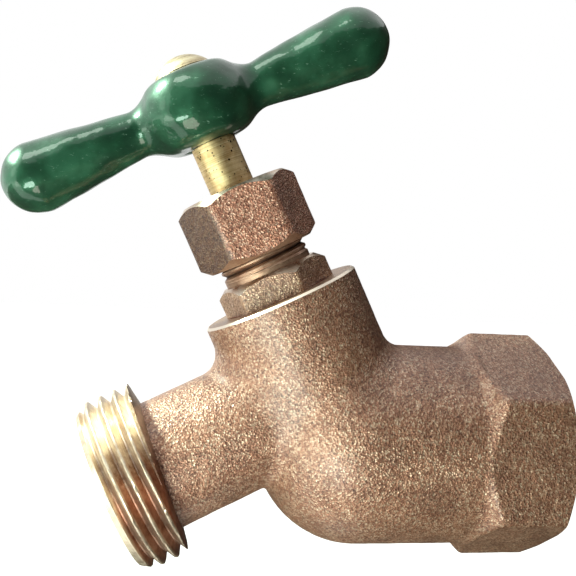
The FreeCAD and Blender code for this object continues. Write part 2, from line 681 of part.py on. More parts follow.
def make_handle():
    """Cast tee handle: a round hub and two club-shaped arms with round ends."""
    handle = new_piece("handle")
    turned(handle, "hub", points=[
        ("0", HANDLE_BOTTOM),
        ("hub_foot", HANDLE_BOTTOM),
        ("hub_radius", ARM_AXIS, "-" + hub_arc("hub_foot", "hub_drop")),
        ("hub_crown", HANDLE_TOP, "-" + hub_arc("hub_crown", "hub_rise")),
        ("0", HANDLE_TOP)])
    for side, turn in (("right", "handle_turned"), ("left", "handle_turned + 180")):
        place = dict(role="XY_Plane", raised=ARM_AXIS, turn=f"-({turn})")
        turned(handle, side + "_arm", axis="H_Axis", points=[
            ("0", "0"),
            ("0", "arm_end - (arm_end - arm_neck) * arm_reach / (arm_reach - neck_place)"),
            ("arm_reach", "arm_end"),
            ("arm_reach + arm_end", "0", "arm_end")], **place)
    rounded(handle, "hub_rounding", creases(handle.Tip.Shape), "handle_fillet")
    half = "(tang_flats / 2 + tang_gap)"
    padded(handle, "square_hole", rectangle(half, half), "tang_length + tang_roof",
           cut=True, downwards=True, role="XY_Plane", raised=HANDLE_BOTTOM)
    turned(handle, "screw_hole", cut=True, points=[
        ("0", f"{HANDLE_BOTTOM} + tang_length"),
        ("top_screw_shank + fit_gap", f"{HANDLE_BOTTOM} + tang_length"),
        ("top_screw_shank + fit_gap", HANDLE_TOP),
        ("0", HANDLE_TOP)])


make_body()
make_gasket()
make_bonnet()
for place in range(int(number("ring_count"))):
    make_packing_ring(place)
make_gland()
make_packing_nut()
make_stem()
make_seat_washer()
make_slotted_screw("washer_screw", "brass_screw", SEAT, upwards=False)
make_handle()
make_slotted_screw("handle_screw", "top_screw", HANDLE_TOP, upwards=True)

doc.recompute()
for item in doc.Objects:
    if "Invalid" in item.State or "Error" in item.State:
        raise RuntimeError("%s: %s" % (item.Name, item.State))
for piece in PARTS:
    shape = piece.Shape
    if shape.isNull() or not shape.isValid():
        raise RuntimeError("%s has no valid shape" % piece.Label)
    box = shape.optimalBoundingBox()
    corners = (box.XMin, box.XMax, box.YMin, box.YMax, box.ZMin, box.ZMax)
    print("%-14s solids %d  volume %8.1f" % (piece.Label, len(shape.Solids), shape.Volume),
          "  x %6.1f %6.1f  y %5.1f %5.1f  z %6.1f %5.1f" % corners)
os.makedirs("parts", exist_ok=True)
for piece in PARTS:
    piece.Shape.exportStep("parts/%s.step" % piece.Label)
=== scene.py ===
# %% [markdown]
# A garden hose bibb: a sand-cast bronze tap with a dipped green tee handle. Its construction comes from a
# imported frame, whose pieces already have their real places and sizes. This lesson gives it its looks: it
# lights and frames the tap, and then makes each piece's surface and finish. Lengths are in millimetres, and
# a mesh is scaled to metres when it is made.

import json

import bmesh
import bpy
import numpy as np
from mathutils import Matrix, Vector


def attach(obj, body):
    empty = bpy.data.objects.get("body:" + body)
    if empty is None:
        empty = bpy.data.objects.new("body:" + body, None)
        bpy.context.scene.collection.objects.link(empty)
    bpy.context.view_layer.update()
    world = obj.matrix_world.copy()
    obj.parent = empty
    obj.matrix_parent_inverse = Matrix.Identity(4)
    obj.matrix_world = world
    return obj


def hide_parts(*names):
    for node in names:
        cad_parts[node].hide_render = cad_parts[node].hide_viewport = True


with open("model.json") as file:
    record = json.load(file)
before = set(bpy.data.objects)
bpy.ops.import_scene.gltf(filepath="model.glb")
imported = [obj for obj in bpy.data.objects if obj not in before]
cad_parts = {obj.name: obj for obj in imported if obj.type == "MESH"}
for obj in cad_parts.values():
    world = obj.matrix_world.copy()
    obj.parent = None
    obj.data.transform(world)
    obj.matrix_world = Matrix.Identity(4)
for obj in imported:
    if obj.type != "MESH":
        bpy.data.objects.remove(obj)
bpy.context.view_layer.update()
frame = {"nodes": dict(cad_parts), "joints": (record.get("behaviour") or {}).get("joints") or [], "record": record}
MM = 0.001
nodes = frame["nodes"]
print("nodes:", sorted(nodes))

# %% [markdown]
# The photograph was taken close by with a normal lens, a little to the left of the tap, with the camera held
# slightly askew. The camera here stands at the same place, so that every edge falls where the photograph has
# it. A look-at helper would be shorter, but it cannot give the small roll, so the three axes are written out.

# %% Stand the camera at the photograph's place
CAMERA_PLACE = np.array([-65.43, -127.12, 23.69])
CAMERA_YAW, CAMERA_PITCH, CAMERA_ROLL = np.radians([10.42, -0.18, 2.67])
PICTURE_PIXELS, FOCAL_PIXELS = 576, 817.9
SENSOR_WIDTH, NEAREST = 36.0, 10.0


def camera_axes(yaw, pitch, roll):
    """Right, up and forward of a camera that looks along +Y, turns by yaw to +X, tips down and then rolls."""
    forward = np.array([np.sin(yaw) * np.cos(pitch), np.cos(yaw) * np.cos(pitch), -np.sin(pitch)])
    level = np.array([np.cos(yaw), -np.sin(yaw), 0.0])
    above = np.cross(level, forward)
    right = np.cos(roll) * level + np.sin(roll) * above
    up = -np.sin(roll) * level + np.cos(roll) * above
    return right, up, forward


def in_scene(name, data):
    """A new object that shows some data, linked to the scene."""
    thing = bpy.data.objects.new(name, data)
    bpy.context.scene.collection.objects.link(thing)
    return thing


right, up, forward = camera_axes(CAMERA_YAW, CAMERA_PITCH, CAMERA_ROLL)
camera_data = bpy.data.cameras.new("camera")
camera_data.sensor_width = SENSOR_WIDTH
camera_data.lens = SENSOR_WIDTH * FOCAL_PIXELS / PICTURE_PIXELS
camera_data.clip_start = NEAREST * MM
camera = in_scene("camera", camera_data)
turn = Matrix([[right[i], up[i], -forward[i]] for i in range(3)])
camera.matrix_world = Matrix.Translation(Vector(CAMERA_PLACE * MM)) @ turn.to_4x4()
bpy.context.scene.camera = camera
print(f"lens {camera_data.lens:.1f} mm, {np.linalg.norm(CAMERA_PLACE):.0f} mm from the inlet")

# %% [markdown]
# One function turns the usual sRGB hex colours to linear light, which is what the nodes work in. Another adds
# one node with its settings and its links, so that a material reads as a short list. Constants are set on the
# shader's own sockets when a material is made, and what varies is linked to them at the end.

# %% Helpers for colours and nodes
def linear(code):
    """An sRGB hex colour as linear RGBA: the curve is a straight foot, then a power of 2.4."""
    srgb = np.array([int(code[i:i + 2], 16) for i in (1, 3, 5)]) / 255
    light = np.where(srgb <= 0.04045, srgb / 12.92, ((srgb + 0.055) / 1.055) ** 2.4)
    return (*light, 1.0)


def add(tree, kind, inputs=(), stops=(), **settings):
    """Add a node of a kind: settings are its properties, stops a colour ramp's places and hex colours.

    Inputs are its sockets' values, or the sockets that they read, in the sockets' order or by name or number.
    """
    node = tree.nodes.new("ShaderNode" + kind)
    for name, value in settings.items():
        setattr(node, name, value)
    for name, value in inputs.items() if isinstance(inputs, dict) else enumerate(inputs):
        if isinstance(value, bpy.types.NodeSocket):
            tree.links.new(value, node.inputs[name])
        else:
            node.inputs[name].default_value = value
    for number, (place, code) in enumerate(stops):
        elements = node.color_ramp.elements
        element = elements[number] if number < len(elements) else elements.new(place)
        element.position, element.color = place, linear(code)
    return node


def new_material(name, **constants):
    """A material with one Principled shader; a name's underscores stand for its socket's spaces."""
    material = bpy.data.materials.new(name)
    material.use_nodes = True
    shader = material.node_tree.nodes["Principled BSDF"]
    for socket, value in constants.items():
        shader.inputs[socket.replace("_", " ")].default_value = value
    return material, material.node_tree, shader


def feed(tree, shader, **outputs):
    """Link outputs to the shader's sockets of those names."""
    for socket, output in outputs.items():
        tree.links.new(output, shader.inputs[socket.replace("_", " ")])


# %% [markdown]
# The photograph is a cut-out on white. The tap was lit by a hard light from the upper left, and the right of
# the room was dark. A pale floor far below and a pale world stand for the white. The camera sees both as
# white, and so do reflections, while the light that falls on the tap comes from a dim room and seven lamps.
# The paper glows a little less right under the tap, so the shadow on it shows.

# %% Floor
FLOOR_HEIGHT, FLOOR_HALF = -70.0, 3000.0
# The paper's glow where the shadow falls, and the distances from the tap between which it becomes full
PAPER_GLOW, DIM_WITHIN, FULL_BEYOND = 0.85, 100.0, 450.0
WHITE = (1, 1, 1, 1)


def mirrored_or_seen(tree):
    """One for rays from the camera and for rays that a gloss or a glass sends on, nought for all others."""
    path = add(tree, "LightPath").outputs
    seen = add(tree, "Math", [path["Is Camera Ray"], path["Is Glossy Ray"]], operation="ADD").outputs[0]
    both = add(tree, "Math", [seen, path["Is Transmission Ray"]], operation="ADD", use_clamp=True)
    return both.outputs[0]


floor_mesh = bpy.data.meshes.new("floor")
corners = np.array([(-1, -1, 0), (1, -1, 0), (1, 1, 0), (-1, 1, 0)]) * FLOOR_HALF + [0, 0, FLOOR_HEIGHT]
floor_mesh.from_pydata((corners * MM).tolist(), [], [(0, 1, 2, 3)])
floor = in_scene("floor", floor_mesh)
paper, tree, shader = new_material("matt_white_paper", Base_Color=linear("#d2d0ce"), Roughness=0.9,
                                   Emission_Color=WHITE)
place = add(tree, "TexCoord").outputs["Object"]
from_tap = add(tree, "VectorMath", [place], operation="LENGTH").outputs["Value"]
full = add(tree, "MapRange", [from_tap, DIM_WITHIN * MM, FULL_BEYOND * MM, PAPER_GLOW, 1.0]).outputs[0]
glow = add(tree, "Math", [mirrored_or_seen(tree), full], operation="MULTIPLY").outputs[0]
feed(tree, shader, Emission_Strength=glow)
floor_mesh.materials.append(paper)
print("floor:", FLOOR_HEIGHT, "mm below the inlet's axis")

# %% World
ROOM_LIGHT = 0.01
world = bpy.data.worlds.new("studio")
world.use_nodes = True
bpy.context.scene.world = world
tree = world.node_tree
room = tree.nodes["Background"]
room.inputs["Color"].default_value = linear("#ffb496")
room.inputs["Strength"].default_value = ROOM_LIGHT
white = add(tree, "Background", [WHITE, 1.0]).outputs[0]
seen = add(tree, "MixShader", [mirrored_or_seen(tree), room.outputs[0], white]).outputs[0]
tree.links.new(seen, tree.nodes["World Output"].inputs["Surface"])
print("world: room light", ROOM_LIGHT)

# %% [markdown]
# Photographers put dark cards beside metal, because it has a dark side only where it mirrors something dark.
# Two long cards stand round the tap, one in front and to the right, one low behind. Each is a part of a bowl
# round the tap, which the floor cuts off. Only reflections see them.

# %% Dark cards
TARGET = np.array([-38.0, 0.0, 18.0])
CARD_AWAY, CARD_ABOVE_FLOOR, CARD_STEPS = 420.0, 2.0, 40
LEVEL = 1e-6
# Azimuths from and to, elevations from and to, in degrees
CARDS = {"right_card": (-150.0, 80.0, -80.0, 38.0), "low_card": (80.0, 180.0, -80.0, -14.0)}
black_card, tree, shader = new_material("black_card", Base_Color=linear("#33221b"), Roughness=0.9)


def grid_faces(rows, columns, closed=True, flip=False):
    """Faces between the rows of a grid of points, with the last column joined to the first if closed."""
    across = np.arange(columns if closed else columns - 1)
    beside = (across + 1) % columns
    down = np.arange(rows - 1)[:, None] * columns
    corners = [down + across, down + beside, down + columns + beside, down + columns + across]
    return np.stack(corners[::-1] if flip else corners, axis=-1).reshape(-1, 4)


def card_bowl(azimuths, elevations):
    """A bowl round the target: directions by azimuth and elevation, as far as the floor lets them go."""
    azimuth, elevation = np.meshgrid(azimuths, elevations)
    direction = np.stack([np.cos(azimuth) * np.cos(elevation), np.sin(azimuth) * np.cos(elevation),
                          np.sin(elevation)], axis=-1)
    drop = TARGET[2] - FLOOR_HEIGHT - CARD_ABOVE_FLOOR
    away = np.minimum(CARD_AWAY, drop / np.maximum(-direction[..., 2], LEVEL))
    return TARGET + away[..., None] * direction


for name, angles in CARDS.items():
    start, end, low, high = np.radians(angles)
    bowl = card_bowl(np.linspace(start, end, CARD_STEPS), np.linspace(low, high, CARD_STEPS))
    card_mesh = bpy.data.meshes.new(name)
    card_mesh.from_pydata((bowl.reshape(-1, 3) * MM).tolist(), [],
                          grid_faces(CARD_STEPS, CARD_STEPS, closed=False, flip=True).tolist())
    card_mesh.materials.append(black_card)
    card = in_scene(name, card_mesh)
    card.visible_camera = card.visible_shadow = card.visible_diffuse = False
print("cards:", list(CARDS))

# %% [markdown]
# The window is the hard light. The left wall, the sky and the ground are the soft light that it throws round
# the room, each from its own side. Their directions and powers were found by rendering the tap with one lamp
# at a time, and by asking which sum of those pictures comes nearest to the photograph's light and dark.

# %% Lamps
# Each lamp: the way to it as the camera sees it (right, up, back), its distance, width, power and colour
LAMPS = {"window": ((-0.76, 0.62, -0.03), 430.0, 70.0, 3.5, "#ecfff0"),
         "left_wall": ((-0.9, 0.2, 0.4), 430.0, 160.0, 0.1, "#f2fff0"),
         "front": ((-0.35, 0.25, 0.9), 430.0, 50.0, 0.08, "#ffffff"),
         "bright_ground": ((-0.4, -0.4, 0.82), 190.0, 90.0, 0.34, "#e6fff2"),
         "low_ground": ((-0.2, -0.6, 0.77), 120.0, 60.0, 0.055, "#fff0e6"),
         "left_ground": ((-0.8, -0.35, 0.5), 230.0, 110.0, 0.1, "#f2fff0"),
         "sky": ((-0.4, 0.85, 0.38), 430.0, 130.0, 0.28, "#fbfff8")}


def lamp(name, way, distance, width, power, colour):
    """A round area lamp, turned to the tap and seen only by its light."""
    data = bpy.data.lights.new(name, "AREA")
    data.shape, data.size, data.energy, data.color = "DISK", width * MM, power, linear(colour)[:3]
    light = in_scene(name, data)
    light.visible_camera = False
    ray = way[0] * right + way[1] * up - way[2] * forward
    ray = Vector(ray / np.linalg.norm(ray))
    place = Matrix.Translation((Vector(TARGET) + distance * ray) * MM)
    light.matrix_world = place @ (-ray).to_track_quat("-Z", "Y").to_matrix().to_4x4()


for name, settings in LAMPS.items():
    lamp(name, *settings)
print("lamps:", list(LAMPS))

# %% [markdown]
# Most of a tap is round about one of a few axes: the inlet's, the stem's, the spout's and the handle's. The
# frame says where they are: the handle's joint lies on the stem axis, and the mounts name the inlet and the
# spout. Each axis is kept with two directions square to it, so that a point can be given by its way along,
# its radius and its azimuth.

# %% What an axis is
def unit(vector):
    """A vector of length one."""
    return np.asarray(vector, float) / np.linalg.norm(vector)


class Axis:
    """An axis from a foot: azimuth is 0 on the side called first, and turns right-handed about it."""

    def __init__(self, foot, along, first):
        """Keep the foot, the two directions as unit vectors, and their cross product as the third."""
        self.foot, self.along, self.first = np.asarray(foot, float), unit(along), unit(first)
        self.second = np.cross(self.along, self.first)

    def sideways(self, azimuth):
        """Unit vectors square to the axis at azimuths."""
        return np.cos(azimuth)[..., None] * self.first + np.sin(azimuth)[..., None] * self.second

    def point(self, along, radius, azimuth):
        """Places at a way along the axis, a radius from it and an azimuth about it."""
        along, radius, azimuth = np.broadcast_arrays(along, radius, azimuth)
        return self.foot + along[..., None] * self.along + radius[..., None] * self.sideways(azimuth)

    def coordinates(self, points):
        """Way along, radius and azimuth of points: three dot products and then polar coordinates."""
        offset = points - self.foot
        along, a, b = offset @ self.along, offset @ self.first, offset @ self.second
        return along, np.hypot(a, b), np.arctan2(b, a)


# %% The tap's axes
mounts = {mount["name"]: mount for mount in frame["record"]["mounts"]}
turning = next(joint for joint in frame["joints"] if joint["name"] == "handle_turn")
stem_up = unit(turning["axis"])
stem_foot = np.array(turning["pos_m"]) / MM
thread_middle = np.array(mounts["hose_thread"]["pos_m"]) / MM
spout_foot = stem_foot + stem_up * ((thread_middle - stem_foot) @ stem_up)
INLET = Axis([0, 0, 0], mounts["inlet"]["axis"], [0, 0, 1])
STEM = Axis(stem_foot, stem_up, np.cross([0, 1, 0], stem_up))
SPOUT = Axis(spout_foot, mounts["spout_face"]["axis"], stem_up)
print("stem foot", STEM.foot, "spout foot", np.round(SPOUT.foot, 2))

# %% [markdown]
# Sand-cast bronze keeps the print of the sand: round dimples of about a third of a millimetre over the whole
# skin. The skin is oxidised, so it is only partly metal to the eye: a pink-brown coat whose bare bright tops
# catch the light. A Voronoi texture is the sand: one cell per grain, with its own tone, and a hollow that
# deepens towards the middle. A fine noise breaks the cells up, and a wide one makes the stains. The
# bonnet's hexagon and the packing nut are sand-cast too, one in paler tones and one in redder ones.

# %% The print of the sand
STAINS = [(0.3, "#c9c1bd"), (0.5, "#e6e0dc"), (0.68, "#ffffff")]


def per(size):
    """Noise scale for features of a size in millimetres, because Object coordinates are in metres."""
    return 1 / (size * MM)


def sand_cast(tree, shader, grain_size, grain_depth, tones):
    """Give a shader the sand's print: its grain size and depth in millimetres, its tones from pit to top."""
    place = add(tree, "TexCoord").outputs["Object"]
    sand = add(tree, "TexVoronoi", {"Vector": place, "Scale": per(grain_size)}).outputs
    fine = add(tree, "TexNoise", {"Vector": place, "Scale": per(0.8 * grain_size), "Detail": 2.0,
                                  "Roughness": 0.7}).outputs["Fac"]
    lumps = add(tree, "TexNoise", {"Vector": place, "Scale": per(3.5 * grain_size),
                                   "Detail": 1.0}).outputs["Fac"]
    stain = add(tree, "TexNoise", {"Vector": place, "Scale": per(6.0), "Detail": 5.0,
                                   "Roughness": 0.65}).outputs["Fac"]
    grain = add(tree, "Mix", {0: 0.4, 2: fine, 3: sand["Color"]}).outputs[0]
    skin = add(tree, "ValToRGB", [grain], tones).outputs[0]
    stains = add(tree, "ValToRGB", [stain], STAINS).outputs[0]
    colour = add(tree, "Mix", {0: 1.0, 6: skin, 7: stains}, data_type="RGBA",
                 blend_type="MULTIPLY").outputs[2]
    shine = add(tree, "MapRange", [grain, 0.3, 0.7, 0.58, 0.33]).outputs[0]
    low = add(tree, "Bump", {"Height": lumps, "Distance": 0.5 * grain_depth * MM, "Strength": 0.8}).outputs[0]
    high = add(tree, "Bump", {"Height": sand["Distance"], "Distance": 0.3 * grain_depth * MM,
                              "Strength": 1.0, "Normal": low}).outputs[0]
    feed(tree, shader, Base_Color=colour, Roughness=shine, Normal=high)
    return colour


# %% Sand-cast bronzes
OXIDE = {"Metallic": 0.5, "Specular_IOR_Level": 1.0, "Coat_Weight": 0.5, "Coat_IOR": 1.7,
         "Coat_Roughness": 0.4}
GRAIN = 0.3
BODY_TONES = [(0.25, "#5c3425"), (0.5, "#bf8869"), (0.75, "#f6e0c4")]
NUT_TONES = [(0.25, "#643826"), (0.5, "#cd8a6c"), (0.75, "#ffddc4")]
BONNET_TONES = [(0.25, "#744e3a"), (0.5, "#be8f70"), (0.75, "#f4d6b6")]
bronze, tree, shader = new_material("sand_cast_bronze", **OXIDE)
sand_cast(tree, shader, GRAIN, 0.45, BODY_TONES)
bonnet_bronze, tree, shader = new_material("sand_cast_bonnet_bronze", **OXIDE)
sand_cast(tree, shader, GRAIN, 0.4, BONNET_TONES)
nut_bronze, tree, shader = new_material("sand_cast_nut_bronze", **OXIDE)
salmon = sand_cast(tree, shader, GRAIN, 0.5, NUT_TONES)
print("sand grains:", GRAIN, "mm")

# %% [markdown]
# The nut's left flat is darkened to an olive brown: painted shade. The mask is the way out along a line that leans
# from that flat's normal away from the front, so the colour turns at a corner of the hexagon, and a noise frays
# its edge.

# %% Painted shade on the nut's left side
PAINTED_SHADE_WAY = STEM.sideways(np.radians(-170.0))
PAINTED_SHADE_FROM, PAINTED_SHADE_TO, FRAY = 7.1, 7.5, 1.0


def way_along(tree, place, foot, direction):
    """How far a place lies from a foot along a direction, in metres."""
    offset = add(tree, "VectorMath", [place, Vector(foot * MM)], operation="SUBTRACT").outputs[0]
    return add(tree, "VectorMath", [offset, Vector(direction)], operation="DOT_PRODUCT").outputs["Value"]


place = add(tree, "TexCoord").outputs["Object"]
way = way_along(tree, place, STEM.foot, PAINTED_SHADE_WAY)
frayed = add(tree, "TexNoise", {"Vector": place, "Scale": per(1.2), "Detail": 4.0}).outputs["Fac"]
edge = add(tree, "Math", [frayed, FRAY * MM, way], operation="MULTIPLY_ADD").outputs[0]
nut_painted_shade = add(tree, "MapRange", [edge, PAINTED_SHADE_FROM * MM, PAINTED_SHADE_TO * MM, 0.0, 1.0]).outputs[0]
# Painted shade: the nut's colour is multiplied by an olive brown on its left side
brown = add(tree, "Mix", {0: 1.0, 6: salmon, 7: linear("#908a72")}, data_type="RGBA",
            blend_type="MULTIPLY").outputs[2]
skin = add(tree, "Mix", {0: nut_painted_shade, 6: salmon, 7: brown}, data_type="RGBA").outputs[2]
feed(tree, shader, Base_Color=skin)
print("weathered side looks towards:", np.round(PAINTED_SHADE_WAY, 2))

# %% [markdown]
# Metal turned in a lathe shows the tool's path: fine rings about the axis, brighter and darker by turns. A
# Mapping node turns Object coordinates so that the axis is Z. Then the radius and the way along are all that
# the rings need, so they run round cylinders, faces and chamfers alike. Real rings are under a tenth of a
# millimetre apart. They are drawn about twice as far apart here, because finer ones would not show.

# %% Turned metal
def about(tree, place, axis):
    """Sockets for a place's radius from an axis and its way along it, both in metres."""
    frame_of_axis = Matrix(np.stack([axis.first, axis.second, axis.along], axis=1).tolist())
    turned = add(tree, "Mapping", {"Vector": place, "Location": Vector(axis.foot * MM),
                                   "Rotation": frame_of_axis.to_euler()}, vector_type="TEXTURE").outputs[0]
    flat = add(tree, "VectorMath", [turned, (1, 1, 0)], operation="MULTIPLY").outputs[0]
    radius = add(tree, "VectorMath", [flat], operation="LENGTH").outputs["Value"]
    return radius, add(tree, "SeparateXYZ", [turned]).outputs["Z"]


def turned_metal(tree, shader, axis, colours, roughness, ring_spacing=0.16, ring_depth=0.012):
    """Give a shader a lathe's rings about an axis, and the metal's dark, middle and bright colours."""
    place = add(tree, "TexCoord").outputs["Object"]
    radius, along = about(tree, place, axis)
    way = add(tree, "Math", [radius, along], operation="ADD").outputs[0]
    rings = add(tree, "TexNoise", {"W": way, "Scale": per(ring_spacing), "Detail": 3.0, "Roughness": 0.7},
                noise_dimensions="1D").outputs["Fac"]
    stain = add(tree, "TexNoise", {"Vector": place, "Scale": per(2.5), "Detail": 5.0,
                                   "Roughness": 0.7}).outputs["Fac"]
    dark, middle, bright = colours
    ringed = add(tree, "ValToRGB", [rings], [(0.3, dark), (0.5, middle), (0.7, bright)]).outputs[0]
    dulled = add(tree, "ValToRGB", [stain], [(0.35, dark), (0.6, bright)]).outputs[0]
    colour = add(tree, "Mix", {0: 0.45, 6: ringed, 7: dulled}, data_type="RGBA").outputs[2]
    shine = add(tree, "MapRange", [stain, 0.3, 0.7, *roughness]).outputs[0]
    bump = add(tree, "Bump", {"Height": rings, "Distance": ring_depth * MM, "Strength": 0.7}).outputs[0]
    feed(tree, shader, Base_Color=colour, Roughness=shine, Normal=bump)
    return colour


# %% Bright turned faces
BRIGHT_BRONZE = ("#b0927a", "#dcc6ae", "#f8eedd")
turned_boss, tree, shader = new_material("turned_boss_bronze", Metallic=1.0)
turned_metal(tree, shader, STEM, BRIGHT_BRONZE, (0.22, 0.4))
turned_mouth, tree, shader = new_material("turned_mouth_bronze", Metallic=1.0)
turned_metal(tree, shader, INLET, BRIGHT_BRONZE, (0.22, 0.4))
screw_brass, tree, shader = new_material("turned_screw_brass", Metallic=0.9)
turned_metal(tree, shader, STEM, ("#8d7a58", "#c9b78c", "#efe6c8"), (0.3, 0.5))
print("turned:", turned_boss.name, turned_mouth.name, screw_brass.name)

# %% [markdown]
# The hose thread is turned too. Tarnish stays below the crests, where a hose never rubs. The same brown is painted
# as shade over the lower part of the collar, and most of all as a painted reflection of the brown body on the
# flanks that face it. The radius tells the crest, the height with a noise the painted shade's edge, and the
# normal's part along the spout's axis the flank. The chamfer at the lip stays bright, because the hose's washer
# rubs it.

# %% Hose thread
CHAMFER_ZONE, ZONE_FADE = 1.05, 0.3
TARNISH_DEEP, TARNISH_HIGH = 13.1, 13.42
# Painted shade: heights below which the collar is fully browned and above which not at all, and how ragged that
# edge is
SHADE_FULL_BELOW, SHADE_NONE_ABOVE, SHADE_RAGGED = 7.0, 11.5, 9.0
lip_way = float((np.array(mounts["spout_face"]["pos_m"]) / MM - SPOUT.foot) @ SPOUT.along)
turned_collar, tree, shader = new_material("turned_collar_bronze", Metallic=0.85)
bright = turned_metal(tree, shader, SPOUT, ("#b3947a", "#dfccb2", "#f7ecd8"), (0.3, 0.46))
place = add(tree, "TexCoord").outputs["Object"]
radius, along = about(tree, place, SPOUT)
patches = add(tree, "TexNoise", {"Vector": place, "Scale": per(1.0), "Detail": 5.0,
                                 "Roughness": 0.7}).outputs["Fac"]
normal = add(tree, "NewGeometry").outputs["Normal"]
facing = add(tree, "VectorMath", [normal, Vector(SPOUT.along)], operation="DOT_PRODUCT").outputs["Value"]
height = way_along(tree, place, SPOUT.foot, SPOUT.first)
ragged_height = add(tree, "Math", [patches, SHADE_RAGGED * MM, height], operation="MULTIPLY_ADD").outputs[0]
# Painted reflection of the brown body: flanks that face the body get the most brown
body_flank_painted_reflection = add(tree, "MapRange", [facing, -0.4, 0.4, 1.0, 0.6]).outputs[0]
inboard = add(tree, "MapRange", [along, (lip_way - CHAMFER_ZONE - ZONE_FADE) * MM,
                                 (lip_way - CHAMFER_ZONE) * MM, 1.0, 0.0]).outputs[0]
deep = add(tree, "MapRange", [radius, TARNISH_DEEP * MM, TARNISH_HIGH * MM, 1.0, 0.0]).outputs[0]
# Painted shade: the lower part of the collar is browned, and the upper part is left bright
painted_shade_low = add(tree, "MapRange", [ragged_height, SHADE_FULL_BELOW * MM, SHADE_NONE_ABOVE * MM, 1.0, 0.0]).outputs[0]
tarnish_and_painted_shade = body_flank_painted_reflection
for mask in (inboard, deep, painted_shade_low):
    tarnish_and_painted_shade = add(tree, "Math", [tarnish_and_painted_shade, mask], operation="MULTIPLY").outputs[0]
# One brown for the tarnish below the crests and for the painted shade and reflection
tarnish_and_shade_brown = add(tree, "ValToRGB", [patches], [(0.35, "#85553f"), (0.65, "#b4866d")]).outputs[0]
skin = add(tree, "Mix", {0: tarnish_and_painted_shade, 6: bright, 7: tarnish_and_shade_brown}, data_type="RGBA").outputs[2]
feed(tree, shader, Base_Color=skin)
print(f"the lip is {lip_way:.2f} mm along the spout")

# %% [markdown]
# The ring and the thread on the bonnet are turned, but oil and dirt have browned them. Their colour goes by the
# radius: darker deep in the grooves, brown on the crests.

# %% Oiled thread
GROOVE_DEEP, GROOVE_HIGH = 6.45, 6.8
oiled_bronze, tree, shader = new_material("oiled_thread_bronze", Metallic=0.75)
browned = turned_metal(tree, shader, STEM, ("#7d5643", "#a87f67", "#caa890"), (0.36, 0.52))
radius, _ = about(tree, add(tree, "TexCoord").outputs["Object"], STEM)
crest = add(tree, "MapRange", [radius, GROOVE_DEEP * MM, GROOVE_HIGH * MM, 0.0, 1.0]).outputs[0]
skin = add(tree, "Mix", {0: crest, 6: linear("#3a241a"), 7: browned}, data_type="RGBA").outputs[2]
feed(tree, shader, Base_Color=skin)
print("grooves are dark within", GROOVE_DEEP, "mm of the stem's axis")

# %% [markdown]
# The stem is turned brass, yellower than the bronze. Water and years have eaten small dark pits into it. A
# Voronoi texture spreads one round cell per pit, and a noise lets only some of the cells through.

# %% Pitted brass stem
PIT_SPACING = 0.6
stem_brass, tree, shader = new_material("turned_stem_brass", Metallic=0.9)
bright = turned_metal(tree, shader, STEM, ("#b98f5a", "#e0ba82", "#f8e4b4"), (0.38, 0.52), ring_spacing=0.22)
place = add(tree, "TexCoord").outputs["Object"]
cells = add(tree, "TexVoronoi", {"Vector": place, "Scale": per(PIT_SPACING)}).outputs["Distance"]
chance = add(tree, "TexNoise", {"Vector": place, "Scale": per(1.6), "Detail": 2.0}).outputs["Fac"]
pit_size = add(tree, "MapRange", [chance, 0.38, 0.66, 0.0, 0.36]).outputs[0]
pits = add(tree, "Math", [cells, pit_size], operation="LESS_THAN").outputs[0]
skin = add(tree, "Mix", {0: pits, 6: bright, 7: linear("#4a3722")}, data_type="RGBA").outputs[2]
feed(tree, shader, Base_Color=skin)
print("pits:", PIT_SPACING, "mm apart")

# %% [markdown]
# The handle is dipped in green enamel, which flows out smooth but keeps a slow wave, the orange peel.
# Reflections break up on it, so two wide noises drive the bump and nothing sharper does. The clear top of the
# film gives sharp white reflections, and the colour under it a broad green gloss. Handling has left faint
# pale scratches and specks. The green is darker where the film is thick.

# %% Green enamel
enamel, tree, shader = new_material("green_enamel", Roughness=0.36, Specular_IOR_Level=1.0,
                                    Specular_Tint=linear("#79bd95"), Coat_Weight=0.7, Coat_Roughness=0.05)
place = add(tree, "TexCoord").outputs["Object"]
film = add(tree, "TexNoise", {"Vector": place, "Scale": per(5.0), "Detail": 3.0}).outputs["Fac"]
green = add(tree, "ValToRGB", [film], [(0.35, "#163426"), (0.5, "#1b402d"), (0.65, "#28543e")]).outputs[0]
streak = add(tree, "Mapping", {"Vector": place, "Scale": (0.35, 1, 1)}).outputs[0]
worn = add(tree, "TexNoise", {"Vector": streak, "Scale": per(0.35), "Detail": 3.0,
                              "Roughness": 0.7}).outputs["Fac"]
pale = add(tree, "MapRange", [worn, 0.64, 0.76, 0.0, 0.6]).outputs[0]
skin = add(tree, "Mix", {0: pale, 6: green, 7: linear("#8fb59e")}, data_type="RGBA").outputs[2]
slow = add(tree, "TexNoise", {"Vector": place, "Scale": per(4.5), "Detail": 1.0}).outputs["Fac"]
peel = add(tree, "TexNoise", {"Vector": place, "Scale": per(1.3), "Detail": 2.0}).outputs["Fac"]
wave = add(tree, "Bump", {"Height": slow, "Distance": 0.35 * MM, "Strength": 1.0}).outputs[0]
bump = add(tree, "Bump", {"Height": peel, "Distance": 0.05 * MM, "Strength": 1.0, "Normal": wave}).outputs[0]
feed(tree, shader, Base_Color=skin, Normal=bump, Coat_Normal=bump)
print("enamel:", enamel.name)

# %% [markdown]
# The soft parts are hidden while the tap is whole, but they show when it is taken apart. The seat washer is
# moulded rubber, dull and nearly black with a bloom of dust. The packing is graphite yarn pressed to rings,
# dark grey with bright flakes. The gasket is vulcanised fibre, a red-brown board with short hairs.

